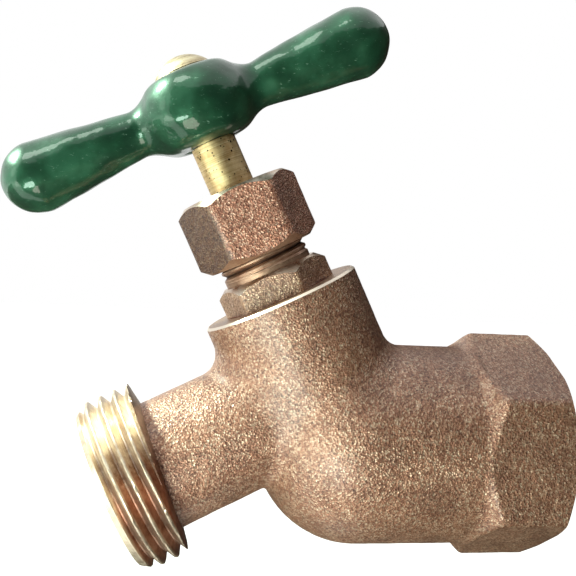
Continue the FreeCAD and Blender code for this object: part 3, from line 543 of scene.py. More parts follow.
# %% Rubber, graphite and fibre
# Each: its metallic share, its pattern's node and sockets, the pattern's colours, and its roughness
SOFT = {"moulded_rubber": (0.0, "TexNoise", {"Scale": per(1.5), "Detail": 5.0},
                           [(0.35, "#151516"), (0.65, "#2b2b2c")], (0.5, 0.75)),
        "pressed_graphite": (0.4, "TexVoronoi", {"Scale": per(0.25)},
                             [(0.2, "#232325"), (0.9, "#6c6c70")], (0.35, 0.6)),
        "vulcanised_fibre": (0.0, "TexNoise", {"Scale": per(0.3), "Detail": 4.0, "Distortion": 2.0},
                             [(0.35, "#5c2a1f"), (0.65, "#8f4a35")], (0.65, 0.85))}


def soft_material(name, metallic, kind, sockets, colours, roughness):
    """A dull material whose colour and roughness follow one pattern."""
    material, tree, shader = new_material(name, Metallic=metallic)
    place = add(tree, "TexCoord").outputs["Object"]
    height, tone = add(tree, kind, {"Vector": place, **sockets}).outputs[:2]
    tone = height if kind == "TexNoise" else tone
    colour = add(tree, "ValToRGB", [tone], colours).outputs[0]
    shine = add(tree, "MapRange", [height, 0.3, 0.7, *roughness]).outputs[0]
    feed(tree, shader, Base_Color=colour, Roughness=shine)
    return material


rubber, graphite, fibre = (soft_material(name, *settings) for name, settings in SOFT.items())
print("materials:", sorted(material.name for material in bpy.data.materials))

# %% [markdown]
# The frame's own points tell the sizes of the casting, so that the new skin meets the machined places
# exactly. Each size is read where a point lies on a known face, such as the boss's top or the spout's end.

# %% Sizes of the boss and the spout
NEAR = 0.02
BOSS_REGION = 13.0


def node_points(name):
    """A frame piece's points, in millimetres."""
    vertices = nodes[name].data.vertices
    flat = np.empty(len(vertices) * 3, np.float32)
    vertices.foreach_get("co", flat)
    return flat.reshape(-1, 3).astype(float) / MM


body_points = node_points("body")
body_low, body_high = body_points.min(axis=0), body_points.max(axis=0)
along, radius, _ = STEM.coordinates(body_points)
in_boss = radius < BOSS_REGION
BOSS_TOP = along[in_boss].max()
at_top = radius[in_boss & (along > BOSS_TOP - NEAR)]
BOSS_RADIUS, SOCKET_RADIUS = at_top.max(), at_top.min()
along, radius, _ = SPOUT.coordinates(body_points)
SPOUT_END = along.max()
at_end = radius[along > SPOUT_END - NEAR]
LIP_OUTER, LIP_INNER = at_end.max(), at_end.min()
HOSE_RADIUS = mounts["hose_thread"]["dims"]["r_mm"]
COLLAR_BACK = SPOUT_END - mounts["hose_thread"]["dims"]["length_mm"]
NECK_RADIUS = radius[(np.abs(along - COLLAR_BACK) < NEAR) & (radius > LIP_INNER)].min()
print(f"boss {BOSS_RADIUS:.2f} at {BOSS_TOP:.2f}, socket {SOCKET_RADIUS:.2f}, neck {NECK_RADIUS:.2f}")
print(f"spout end {SPOUT_END:.2f}, lip {LIP_OUTER:.2f} to {LIP_INNER:.2f}, collar back {COLLAR_BACK:.2f}")

# %% Sizes of the inlet
along, radius, _ = INLET.coordinates(body_points)
HALF_FLATS = body_points[:, 1].max()
at_mouth = radius[along > -NEAR]
MOUTH_OUTER, MOUTH_INNER = at_mouth.max(), at_mouth.min()
BARREL_RADIUS, BULB_MIDDLE = 15.7, -30.4
HEXAGON_BACK, BEVEL_END, CHAMFER_END = -13.4, -10.6, -1.9
HEXAGON_CORNER = HALF_FLATS / np.cos(np.pi / 6)
# The bevel and the chamfer slope as if the corners stood this much farther out
CORNER_SPARE = 1.0
print(f"half flats {HALF_FLATS:.3f}, mouth {MOUTH_OUTER:.2f} to {MOUTH_INNER:.2f}")

# %% [markdown]
# A casting has no sharp inner corners: the pattern's corners are filled with wax fillets, so that the metal
# can flow. Distances make that easy. The barrel, the boss and the neck are each a rod with a round end, and a
# round union joins two distances with a fillet of a known radius. The skin is where the joined distance is
# nought.

# %% Distances to simple shapes
def round_union(one, other, radius):
    """Join two distances with a fillet: near both, the distance to a circle of that radius in the corner."""
    inside = np.hypot(np.maximum(radius - one, 0), np.maximum(radius - other, 0))
    return np.maximum(radius, np.minimum(one, other)) - inside


def round_overlap(one, other, radius):
    """Keep what lies in both, with the edge between them rounded: a round union turned inside out."""
    return -round_union(-one, -other, radius)


def rod(points, axis, start, size):
    """Distance to a rod about an axis, whose start has a round end of its own radius."""
    along, radius, _ = axis.coordinates(points)
    return np.hypot(np.minimum(along - start, 0), radius) - size


def hexagon_distance(points, axis, half_flats, rounding, turn=0.0):
    """Distance to a long hexagon with rounded corners: the overlap of three slabs."""
    _, radius, azimuth = axis.coordinates(points)
    one, two, three = (np.abs(radius * np.cos(azimuth - turn - angle)) - half_flats
                       for angle in np.radians([30, 90, 150]))
    return round_overlap(round_overlap(one, two, rounding), three, rounding)


# %% The casting as a distance
BOSS_FILLET = 2.0
# The neck's fillet is wide on top and tight below: its size at the axis, its growth upwards, its limits
NECK_FILLET, NECK_FILLET_RISE, NECK_FILLET_RANGE = 2.2, 0.13, (0.9, 3.6)
HEXAGON_ROUND, BEVEL_ROUND, HEXAGON_FILLET, FILLET_FADE = 0.7, 0.5, 0.9, 1.6


def casting_distance(points):
    """Distance to the whole casting: barrel, boss and neck with their fillets, and the inlet's hexagon."""
    barrel = rod(points, INLET, BULB_MIDDLE, BARREL_RADIUS)
    boss = rod(points, STEM, 0.0, BOSS_RADIUS)
    neck = rod(points, SPOUT, 0.0, NECK_RADIUS)
    above_spout = (points - SPOUT.foot) @ SPOUT.first
    fillet = np.clip(NECK_FILLET + NECK_FILLET_RISE * above_spout, *NECK_FILLET_RANGE)
    cast = round_union(round_union(barrel, boss, BOSS_FILLET), neck, fillet)
    along, radius, _ = INLET.coordinates(points)
    rise = (HEXAGON_CORNER + CORNER_SPARE - BARREL_RADIUS) / (BEVEL_END - HEXAGON_BACK)
    bevel = (radius - BARREL_RADIUS - rise * (along - HEXAGON_BACK)) / np.hypot(rise, 1)
    block = round_overlap(hexagon_distance(points, INLET, HALF_FLATS, HEXAGON_ROUND), bevel, BEVEL_ROUND)
    corner_fillet = HEXAGON_FILLET * np.clip(HEXAGON_BACK + FILLET_FADE - along, 0, 1)
    return round_union(cast, block, corner_fillet)


# %% Finding a skin and its normals
def reach(distance, start, direction, near, far, steps=30):
    """How far from start along direction a distance becomes nought: the span is halved again and again."""
    low = np.full(direction.shape[:-1], float(near))
    high = np.full(direction.shape[:-1], float(far))
    for _ in range(steps):
        middle = (low + high) / 2
        outside = distance(start + middle[..., None] * direction) > 0
        high = np.where(outside, middle, high)
        low = np.where(outside, low, middle)
    return (low + high) / 2


def outward(distance, points, step=0.02):
    """Unit normal of a distance: how fast it grows along X, Y and Z, from small steps both ways."""
    slope = [distance(points + step * axis) - distance(points - step * axis) for axis in np.eye(3)]
    slope = np.stack(slope, axis=-1)
    return slope / np.linalg.norm(slope, axis=-1, keepdims=True)


# %% [markdown]
# Sand leaves a skin that is never quite flat. A sum of many faint waves in random directions gives such a
# relief, the same at every run because its numbers come from a seeded generator.

# %% Uneven relief
def waves(seed, longest, shortest, count=40):
    """Directions and phases of plane waves, with lengths spread between two sizes."""
    random = np.random.default_rng(seed)
    directions = random.normal(size=(count, 3))
    directions /= np.linalg.norm(directions, axis=1, keepdims=True)
    lengths = np.geomspace(longest, shortest, count)
    return directions * (2 * np.pi / lengths)[:, None], random.uniform(0, 2 * np.pi, count)


def relief(points, wave_set):
    """Height of the relief at points: the sum of the waves' sines, scaled to a spread of about one."""
    vectors, phases = wave_set
    return np.sin(points @ vectors.T + phases).sum(axis=-1) * np.sqrt(2 / len(phases))


CAST_WAVES = waves(seed=11, longest=7.0, shortest=1.1)
CAST_RELIEF = 0.012
print("relief:", CAST_RELIEF, "mm,", len(CAST_WAVES[1]), "waves")

# %% [markdown]
# Every piece is made by one function. It joins the parts' points and faces, gives each part its own material,
# merges the points that fall together, so that seams and poles are closed, and says what the piece rides on
# and which of the frame's pieces it stands for.

# %% Making a piece
MERGE = 0.0005


def mesh_piece(name, parts, finishes, body, slot, *replaced, sharp_angle=None):
    """Make one piece from parts, each a pair of points in millimetres and faces that index them.

    The finishes are one material, or a list with one for each part. Edges that bend by more than the sharp
    angle, in degrees, stay sharp.
    """
    finishes = finishes if isinstance(finishes, list) else [finishes] * len(parts)
    used = list(dict.fromkeys(finishes))
    kinds = [np.full(len(part[1]), used.index(finish)) for part, finish in zip(parts, finishes)]
    points, faces, count = [], [], 0
    for part_points, part_faces in parts:
        points.append(part_points.reshape(-1, 3))
        faces.append(part_faces + count)
        count += len(points[-1])
    mesh = bpy.data.meshes.new(name)
    mesh.from_pydata((np.concatenate(points) * MM).tolist(), [], np.concatenate(faces).tolist())
    for material in used:
        mesh.materials.append(material)
    mesh.polygons.foreach_set("material_index", np.concatenate(kinds).astype(np.int32))
    shape = bmesh.new()
    shape.from_mesh(mesh)
    bmesh.ops.remove_doubles(shape, verts=shape.verts, dist=MERGE * MM)
    bmesh.ops.dissolve_degenerate(shape, edges=shape.edges, dist=MERGE * MM)
    volume = shape.calc_volume(signed=True) / MM ** 3
    open_edges = sum(edge.is_boundary for edge in shape.edges)
    shape.to_mesh(mesh)
    shape.free()
    mesh.shade_smooth()
    if sharp_angle is not None:
        mesh.set_sharp_from_angle(angle=np.radians(sharp_angle))
    piece = in_scene(name, mesh)
    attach(piece, body)
    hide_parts(*replaced)
    triangles = sum(len(polygon.vertices) - 2 for polygon in mesh.polygons)
    print(f"{name}: {len(mesh.vertices)} points, {triangles} triangles, volume {volume:.0f}, "
          f"open edges {open_edges}")


# %% [markdown]
# The skin has three tubes, one along each axis, that meet like the legs of trousers. Half planes that fan out
# from one line through the casting part them. Where a half plane cuts the skin is a seam, and both tubes
# beside it start from the same points, so the finished skin is closed there. A boolean union of three tubes
# would also join them, but with a hard crease where the casting has a fillet.

# %% Seams of the casting
SEAM_STEPS = 160
COLUMNS = 2 * SEAM_STEPS
JUNCTION = STEM.foot
NEAREST_SKIN, FARTHEST_SKIN = 3.0, 32.0


def plane_angle(point):
    """Angle of a point in the tap's middle plane, seen from the junction."""
    offset = point - JUNCTION
    return np.arctan2(offset[2], offset[0])


def crossing(axis, side, size, other, other_side, other_size):
    """Where two rods' outlines cross in the middle plane: the crossing of two straight lines."""
    start = axis.foot + side * size * axis.first
    other_start = other.foot + other_side * other_size * other.first
    matrix = np.stack([axis.along, -other.along], axis=1)[[0, 2]]
    step, _ = np.linalg.solve(matrix, (other_start - start)[[0, 2]])
    return start + step * axis.along


def seam(point):
    """The skin in the half plane through a point: rays from the junction, from +Y over that point to -Y."""
    angle = plane_angle(point)
    turn = np.linspace(0, np.pi, SEAM_STEPS + 1)[:, None]
    inward = np.array([np.cos(angle), 0, np.sin(angle)])
    direction = np.cos(turn) * [0, 1, 0] + np.sin(turn) * inward
    span = reach(casting_distance, JUNCTION, direction, NEAREST_SKIN, FARTHEST_SKIN)
    return JUNCTION + span[:, None] * direction


# Under the neck, a straight line along the neck meets the round end of the barrel
under_neck = SPOUT.foot - NECK_RADIUS * SPOUT.first
to_bulb = INLET.point(BULB_MIDDLE, 0.0, 0.0) - under_neck
way = to_bulb @ SPOUT.along
aside = np.sqrt(to_bulb @ to_bulb - way ** 2)
under_neck = under_neck + (way + np.sqrt(BARREL_RADIUS ** 2 - aside ** 2)) * SPOUT.along
barrel_seam = seam(crossing(STEM, 1, BOSS_RADIUS, INLET, 1, BARREL_RADIUS))
neck_seam = seam(crossing(STEM, -1, BOSS_RADIUS, SPOUT, 1, NECK_RADIUS))
under_seam = seam(under_neck)
print("seams meet at", np.round(barrel_seam[0], 2), np.round(neck_seam[0], 2), np.round(under_seam[0], 2))

# %% Tubes of the casting
NARROW, WIDE = 3.0, 26.0
BOSS_EDGE, HEXAGON_START, NECK_OVERLAP = 0.35, -14.6, 2.2
BOSS_ROWS, NECK_ROWS, BARREL_ROWS = 58, 48, 54
# Rows crowd towards the seams by a power, and azimuths are even from two thirds of the way on
CROWDING, TURNING_RATE = 1.6, 1.5


def even_turn(columns):
    """Even azimuths once round."""
    return np.arange(columns) * 2 * np.pi / columns


def on_skin(axis, stations, azimuth):
    """Points of the skin on rays square to an axis, at stations along it and at azimuths."""
    stations, azimuth = np.broadcast_arrays(stations, azimuth)
    foot = axis.foot + stations[..., None] * axis.along
    direction = axis.sideways(azimuth)
    return foot + reach(casting_distance, foot, direction, NARROW, WIDE)[..., None] * direction


def tube(axis, one_seam, other_seam, end, rows):
    """A grid from two seams to an end: each point lies on the skin, on a ray square to the axis."""
    loop = np.concatenate([one_seam[:-1], other_seam[:0:-1]])
    along, _, azimuth = axis.coordinates(loop)
    azimuth = np.unwrap(azimuth)
    even = azimuth[0] + np.sign(azimuth[-1] - azimuth[0]) * even_turn(COLUMNS)
    share = np.linspace(0, 1, rows)[:, None] ** CROWDING
    ease = np.clip(share * TURNING_RATE, 0, 1)
    ease = ease * ease * (3 - 2 * ease)
    points = on_skin(axis, along + share * (end - along), azimuth + ease * (even - azimuth))
    points[0] = loop
    return points


boss_tube = tube(STEM, barrel_seam, neck_seam, BOSS_TOP - BOSS_EDGE, BOSS_ROWS)
neck_tube = tube(SPOUT, neck_seam, under_seam, COLLAR_BACK + NECK_OVERLAP, NECK_ROWS)
barrel_tube = tube(INLET, barrel_seam, under_seam, HEXAGON_START, BARREL_ROWS)
print("tubes:", boss_tube.shape, neck_tube.shape, barrel_tube.shape)

# %% [markdown]
# The inlet's hexagon goes on from the barrel's tube with the same columns. Its bevel is part of the cast
# skin, and its flats are straight, so their outline is found once and carried to where the turned chamfer
# starts.

# %% The inlet's hexagon
BEVEL_ROWS, FLAT_ROWS = 40, 20
ON_FLATS, BEVEL_SPARE = -5.0, 0.6
azimuth = INLET.coordinates(barrel_tube[-1])[2]
hexagon_radius = INLET.coordinates(on_skin(INLET, ON_FLATS, azimuth))[1]
chamfer_rise = (HEXAGON_CORNER + CORNER_SPARE - MOUTH_OUTER) / -CHAMFER_END
chamfer_start = -np.maximum(hexagon_radius - MOUTH_OUTER, 0) / chamfer_rise
flats_start = BEVEL_END + BEVEL_SPARE
bevel_rows = np.linspace(HEXAGON_START, flats_start, BEVEL_ROWS)[1:, None]
flat_rows = flats_start + np.linspace(0, 1, FLAT_ROWS)[1:, None] * (chamfer_start - flats_start)
barrel_tube = np.concatenate([barrel_tube, on_skin(INLET, bevel_rows, azimuth),
                              INLET.point(flat_rows, hexagon_radius, azimuth)])
print(f"the chamfer starts {-chamfer_start.min():.2f} mm from the mouth at the corners")

# %% The cast skin
# The relief fades out over these ways, to nought at the boss's edge and where the mouth's bare metal starts
BOSS_FADE, MOUTH_FADE, MOUTH_BARE = 1.0, 2.0, 1.4


def with_relief(points):
    """Push points out or in by the relief, which fades at machined metal, but not out of the frame's box."""
    stem_way, inlet_way = ((points - axis.foot) @ axis.along for axis in (STEM, INLET))
    fade = np.clip((BOSS_TOP - BOSS_EDGE - stem_way) / BOSS_FADE, 0, 1)
    fade = fade * np.clip(-(inlet_way + MOUTH_BARE) / MOUTH_FADE, 0, 1)
    height = CAST_RELIEF * fade * relief(points, CAST_WAVES)
    return np.clip(points + height[..., None] * outward(casting_distance, points), body_low, body_high)


skins = [(with_relief(one), grid_faces(len(one), COLUMNS, flip=flip))
         for one, flip in ((boss_tube, True), (neck_tube, True), (barrel_tube, False))]
mesh_piece("casting", skins, bronze, "valve_body", "cast_bronze", "body")

# %% [markdown]
# Three places on the casting are turned bright in a lathe: the boss's top, where the gasket seats, the
# inlet's mouth and the spout's collar. Each is a profile carried round its axis. The mouth's outer edge is
# not round, because the turned chamfer meets the hexagon's flats and corners at different places. The boss's
# top has dulled to a brown, and only its edge is rubbed bright.

# %% Finish of the boss's rim
# The rubbing shows from this far inside the edge and is full this far outside it
RUB_INSIDE, RUB_OUTSIDE = 0.15, 0.05
turned_rim, tree, shader = new_material("turned_rim_bronze", Metallic=1.0)
dull = turned_metal(tree, shader, STEM, ("#6f5443", "#a5866c", "#c9ae93"), (0.3, 0.5))
radius, _ = about(tree, add(tree, "TexCoord").outputs["Object"], STEM)
edge_radius = BOSS_RADIUS - BOSS_EDGE
rubbed = add(tree, "MapRange", [radius, (edge_radius - RUB_INSIDE) * MM, (edge_radius + RUB_OUTSIDE) * MM,
                                0.0, 1.0]).outputs[0]
skin = add(tree, "Mix", {0: rubbed, 6: dull, 7: linear("#f4e8d6")}, data_type="RGBA").outputs[2]
feed(tree, shader, Base_Color=skin)
print(f"the rim is bright from a radius of {edge_radius:.2f} mm")


# %% Machined rims
def lathe(axis, profile, azimuth):
    """A grid: each row is one point of a profile, a way along and a radius, carried round the axis."""
    along = np.stack([np.broadcast_to(row[0], azimuth.shape) for row in profile])
    radius = np.stack([np.broadcast_to(row[1], azimuth.shape) for row in profile])
    return axis.point(along, radius, azimuth)


boss_azimuth = STEM.coordinates(boss_tube[-1])[2]
boss_face = lathe(STEM, [(BOSS_TOP - BOSS_EDGE, BOSS_RADIUS), (BOSS_TOP, edge_radius),
                         (BOSS_TOP, SOCKET_RADIUS)], boss_azimuth)
mesh_piece("boss_face", [(boss_face, grid_faces(3, COLUMNS, flip=True))], turned_rim, "valve_body",
           "cast_bronze", "body", sharp_angle=30)
mouth_edge = np.minimum(hexagon_radius, MOUTH_OUTER)
inlet_face = lathe(INLET, [(chamfer_start, hexagon_radius), (0.0, mouth_edge), (0.0, MOUTH_INNER)], azimuth)
mesh_piece("inlet_face", [(inlet_face, grid_faces(3, COLUMNS))], turned_mouth, "valve_body",
           "cast_bronze", "body", sharp_angle=30)

# %% [markdown]
# The hose thread is one groove wound round the collar. The frame's points at its root tell which way it winds
# and where it lies: turned back by their azimuth, they fall together for the right hand and scatter for the
# other.

# %% Where the hose thread's groove lies
HOSE_PITCH, HOSE_ROOT = 2.209, 12.0
along, radius, azimuth_of = SPOUT.coordinates(body_points)
on_root = np.abs(radius - HOSE_ROOT) < NEAR
turns_along, turns_round = along[on_root] / HOSE_PITCH, azimuth_of[on_root] / (2 * np.pi)
pulls = {hand: np.exp(2j * np.pi * (turns_along - hand * turns_round)).mean() for hand in (1, -1)}
HAND = max(pulls, key=lambda hand: abs(pulls[hand]))
GROOVE = np.angle(pulls[HAND]) / (2 * np.pi) * HOSE_PITCH
print(f"groove at {GROOVE:.3f} mm, hand {HAND}")
print(f"agreement {abs(pulls[HAND]):.3f} against {abs(pulls[-HAND]):.3f}")

# %% [markdown]
# Rows of the collar's grid follow the helix, so that a crest is one row all the way round and stays sharp. A
# grid square to the axis would be simpler, but its rows would cross the crests and leave teeth on them. Use
# has dented the crests and worn the last one ragged.

# %% The hose collar
HOSE_CREST_FLAT, HOSE_ROOT_FLAT = 0.3, 0.2
# The run-out's greatest length, how steep the lip's chamfer and the collar's back are, and how far the back
# starts within the neck
RUN_OUT, CHAMFER_RISE, BACK_RISE, NECK_SINK = 1.7, 0.65, 6.0, 0.1
TURN_ROWS, TURN_COLUMNS = 24, 288


def thread_radius(along, azimuth):
    """Radius of the collar: a pointed groove on the helix, under the chamfer at the end face."""
    turns = (along - GROOVE) / HOSE_PITCH - HAND * azimuth / (2 * np.pi)
    from_groove = np.abs(turns - np.round(turns)) * HOSE_PITCH
    flank = (HOSE_PITCH - HOSE_CREST_FLAT - HOSE_ROOT_FLAT) / 2
    rise = np.clip((from_groove - HOSE_ROOT_FLAT / 2) / flank, 0, 1)
    chamfer = LIP_OUTER + CHAMFER_RISE * (SPOUT_END - along)
    back = COLLAR_BACK + RUN_OUT * (1 - np.cos(azimuth)) / 2
    end_face = NECK_RADIUS - NECK_SINK + BACK_RISE * np.maximum(along - back, 0)
    return np.minimum.reduce([HOSE_ROOT + rise * (HOSE_RADIUS - HOSE_ROOT), chamfer, end_face])


winding = np.linspace(0, 2 * np.pi, TURN_COLUMNS + 1)
first_row = np.floor((COLLAR_BACK - GROOVE) / HOSE_PITCH) - 1
last_row = np.ceil((SPOUT_END - GROOVE) / HOSE_PITCH) + 1
helix_rows = GROOVE + HOSE_PITCH * np.arange(first_row, last_row, 1 / TURN_ROWS)[:, None]
stations = np.clip(helix_rows + HAND * HOSE_PITCH * winding / (2 * np.pi), COLLAR_BACK, SPOUT_END)
collar_radius = thread_radius(stations, winding)
collar = SPOUT.point(stations, collar_radius, winding)
print("collar:", collar.shape, f"radius {collar_radius.min():.2f} to {collar_radius.max():.2f}")

# %% Dents and the collar's ends
DENT_WAVES = waves(seed=31, longest=3.0, shortest=0.5)
DENT_DEPTH, EDGE_DEPTH, EDGE_REACH, INSIDE_NECK = 0.05, 0.3, 1.3, 0.3
dents = np.clip(relief(collar, DENT_WAVES), 0, None)
ragged = EDGE_DEPTH * np.exp(-np.square((stations - COLLAR_BACK) / EDGE_REACH))
at_crest = np.clip((collar_radius - HOSE_ROOT) / (HOSE_RADIUS - HOSE_ROOT), 0, 1)
collar = collar - ((DENT_DEPTH + ragged) * dents * at_crest)[..., None] * SPOUT.sideways(winding)
back, lip = lathe(SPOUT, [(COLLAR_BACK, NECK_RADIUS - INSIDE_NECK), (SPOUT_END, LIP_INNER)], winding)[:, None]
collar = np.concatenate([back, collar, lip])
mesh_piece("hose_collar", [(collar, grid_faces(len(collar), len(winding), closed=False))], turned_collar,
           "valve_body", "cast_bronze", "body", sharp_angle=24)

# %% [markdown]
# The waterway, the seat and the inlet's pipe thread are seen through the mouth and the spout. The frame's own
# faces are right there, so this piece is a copy of those that line the inside, with their points merged.

# %% The inside of the casting
# How far beyond the mouth's, the socket's and the lip's radius a face still counts, and the socket's foot
BULB_SPARE, SOCKET_SPARE, LIP_SPARE, SOCKET_FOOT = 0.15, 0.5, 0.05, -3.0


def frame_triangles(name):
    """A frame piece's triangles, as indices of its points."""
    mesh = nodes[name].data
    mesh.calc_loop_triangles()
    flat = np.empty(len(mesh.loop_triangles) * 3, np.int32)
    mesh.loop_triangles.foreach_get("vertices", flat)
    return flat.reshape(-1, 3)


triangles = frame_triangles("body")
centres = body_points[triangles].mean(axis=1)
along, radius, _ = INLET.coordinates(centres)
lining = np.hypot(np.minimum(along - BULB_MIDDLE, 0), radius) < MOUTH_INNER + BULB_SPARE
along, radius, _ = STEM.coordinates(centres)
lining |= (radius < SOCKET_RADIUS + SOCKET_SPARE) & (along > SOCKET_FOOT) & (along < BOSS_TOP + NEAR)
along, radius, _ = SPOUT.coordinates(centres)
lining |= (radius < LIP_INNER + LIP_SPARE) & (along > 0)
mesh_piece("casting_inside", [(body_points, triangles[lining])], bronze, "valve_body", "cast_bronze", "body",
           sharp_angle=30)

# %% [markdown]
# The handle is one casting, dipped in enamel: a drum-shaped hub with two club-shaped arms. Its skin is found
# in the same way, where a distance with fillets becomes nought. A subdivided cage could look alike, but its
# fillets would have no known radius.

# %% Sizes of the handle
handle_points = node_points("handle")
along, radius, azimuth_of = STEM.coordinates(handle_points)
tip = handle_points[np.argmax(np.where(np.cos(azimuth_of) > 0, radius, 0))]
ARM_AXIS, ARM_TIP, _ = STEM.coordinates(tip)
HANDLE_BOTTOM, HANDLE_TOP = along.min(), along.max()
hub_middle = STEM.foot + ARM_AXIS * STEM.along
ARMS = Axis(hub_middle, tip - hub_middle, STEM.along)
ARM_END, ARM_NECK, NECK_PLACE = 5.6, 3.6, 9.6
HUB_RADIUS, HUB_FOOT, HUB_CROWN = 9.2, 6.2, 5.9
HUB_ROUND, HANDLE_FILLET = 0.9, 2.0
ARM_REACH = ARM_TIP - ARM_END
print(f"arms at {ARM_AXIS:.2f}, {ARM_TIP:.2f} long, hub {HANDLE_BOTTOM:.2f} to {HANDLE_TOP:.2f}")


# %% The handle as a distance
def drum_side(radius, height, end_radius, end_height):
    """Distance to a drum's bulging side: an arc, upright at the arms, that ends at a radius and height."""
    step = HUB_RADIUS - end_radius
    arc = (step ** 2 + end_height ** 2) / (2 * step)
    return np.hypot(np.maximum(radius - (HUB_RADIUS - arc), 0), height) - arc


def handle_distance(points):
    """Distance to the handle: a drum with rounded rims, joined to two tapering arms with round ends."""
    along, radius, _ = STEM.coordinates(points)
    height = along - ARM_AXIS
    side = np.where(height > 0, drum_side(radius, height, HUB_CROWN, HANDLE_TOP - ARM_AXIS),
                    drum_side(radius, height, HUB_FOOT, ARM_AXIS - HANDLE_BOTTOM))
    ends = np.maximum(along - HANDLE_TOP, HANDLE_BOTTOM - along)
    hub = round_overlap(side, ends, HUB_ROUND)
    way, radius, _ = ARMS.coordinates(points)
    way = np.abs(way)
    taper = (ARM_END - ARM_NECK) / (ARM_REACH - NECK_PLACE)
    arm = np.where(way < ARM_REACH, radius - ARM_END + taper * (ARM_REACH - way),
                   np.hypot(way - ARM_REACH, radius) - ARM_END)
    return round_union(hub, arm, HANDLE_FILLET)


# %% [markdown]
# Rows of the handle's grid follow the arms' axis. They fan out inside the hub and in the balls, so that they
# meet the skin squarely there, and stand square to the axis along the arms. Each row has a place on the axis
# and a tilt, worked out for one half and mirrored for the other.

# %% Rays to the handle's skin
PIVOT_WAY, PIVOT_RADIUS = 9.6, 5.6
HUB_ROWS, BEND_ROWS, ARM_ROWS, BALL_ROWS = 44, 24, 44, 24
HANDLE_COLUMNS = 176
hub_tilt = np.linspace(0, np.arctan2(PIVOT_WAY, PIVOT_RADIUS), HUB_ROWS)
bend_way = np.linspace(0, PIVOT_WAY, BEND_ROWS + 1)[1:]
bend_tilt = np.arctan2(PIVOT_WAY - bend_way, PIVOT_RADIUS)
arm_way = np.linspace(PIVOT_WAY, ARM_REACH, ARM_ROWS + 1)[1:]
ball_tilt = np.linspace(0, np.pi / 2, BALL_ROWS + 1)[1:]
half_way = np.concatenate([np.zeros(HUB_ROWS), bend_way, arm_way, np.full(BALL_ROWS, ARM_REACH)])
half_tilt = np.concatenate([hub_tilt, bend_tilt, np.zeros(ARM_ROWS), ball_tilt])
row_way = np.concatenate([-half_way[:0:-1], half_way])[:, None, None]
row_tilt = np.concatenate([-half_tilt[:0:-1], half_tilt])[:, None, None]
handle_turn = ARMS.sideways(even_turn(HANDLE_COLUMNS))[None]
starts = ARMS.foot + row_way * ARMS.along + np.zeros((1, HANDLE_COLUMNS, 1))
rays = np.cos(row_tilt) * handle_turn + np.sin(row_tilt) * ARMS.along
print("handle rays:", rays.shape)

# %% The handle's skin
# The skin lies between these distances from where the rays start
HANDLE_SPAN = (0.5, 14.0)
ENAMEL_WAVES = waves(seed=5, longest=16.0, shortest=3.0, count=24)
# The enamel's waves, and how far the skin lies within the frame's handle so that they don't stand out of it
ENAMEL_RELIEF, ENAMEL_SINK = 0.05, 0.07
handle_grid = starts + reach(handle_distance, starts, rays, *HANDLE_SPAN)[..., None] * rays
swell = ENAMEL_RELIEF * relief(handle_grid, ENAMEL_WAVES) - ENAMEL_SINK
handle_grid = handle_grid + swell[..., None] * outward(handle_distance, handle_grid)
mesh_piece("handle_skin", [(handle_grid, grid_faces(len(handle_grid), HANDLE_COLUMNS))], enamel, "spindle",
           "green_enamel", "handle")

# %% [markdown]
# The packing nut and the bonnet's hexagon are cast with soft corners. Their ends are then turned, which
# leaves a bevel that runs out in arcs on the flats: the farther out the hexagon, the deeper the bevel
# reaches. So every column of the grid ends at its own height, and the arcs come out sharp.

# %% Cast hexagons with turned ends
# The turned ends lie this far within the flats, and the bevel slopes by 40 degrees
TURNED_INSET, TURNED_SLOPE = 0.35, np.tan(np.radians(40.0))
NUT_COLUMNS, NUT_SPAN = 288, (1.0, 14.0)
NUT_WAVES = waves(seed=23, longest=4.0, shortest=0.9)
NUT_RELIEF, NUT_FADE = 0.012, 0.6
nut_azimuth = even_turn(NUT_COLUMNS)


def cast_hexagon(flats, corner, turn, low, high, rows, bevelled_foot):
    """Rows up a hexagon about the stem, with relief: from the foot, or its bevel, to the upper bevel."""
    def distance(points):
        """Distance to this hexagon."""
        return hexagon_distance(points, STEM, flats / 2, corner, turn=turn)

    start = STEM.point(np.full(NUT_COLUMNS, low), 0.0, nut_azimuth)
    radius = reach(distance, start, STEM.sideways(nut_azimuth), *NUT_SPAN)
    depth = (radius - flats / 2 + TURNED_INSET) * TURNED_SLOPE
    foot, top = low + depth * bevelled_foot, high - depth
    stations = foot + np.linspace(0, 1, rows)[:, None] * (top - foot)
    side = STEM.point(stations, radius, nut_azimuth)
    from_edge = np.minimum(top - stations, stations - foot if bevelled_foot else np.inf)
    push = NUT_RELIEF * np.clip(from_edge / NUT_FADE, 0, 1) * relief(side, NUT_WAVES)
    return side + push[..., None] * outward(distance, side)


# %% [markdown]
# The nut's bore is turned and threaded. One closed profile goes round: up the outside, over the top and
# down the bore. It has three parts, because the turned ends have other finishes than the cast side.

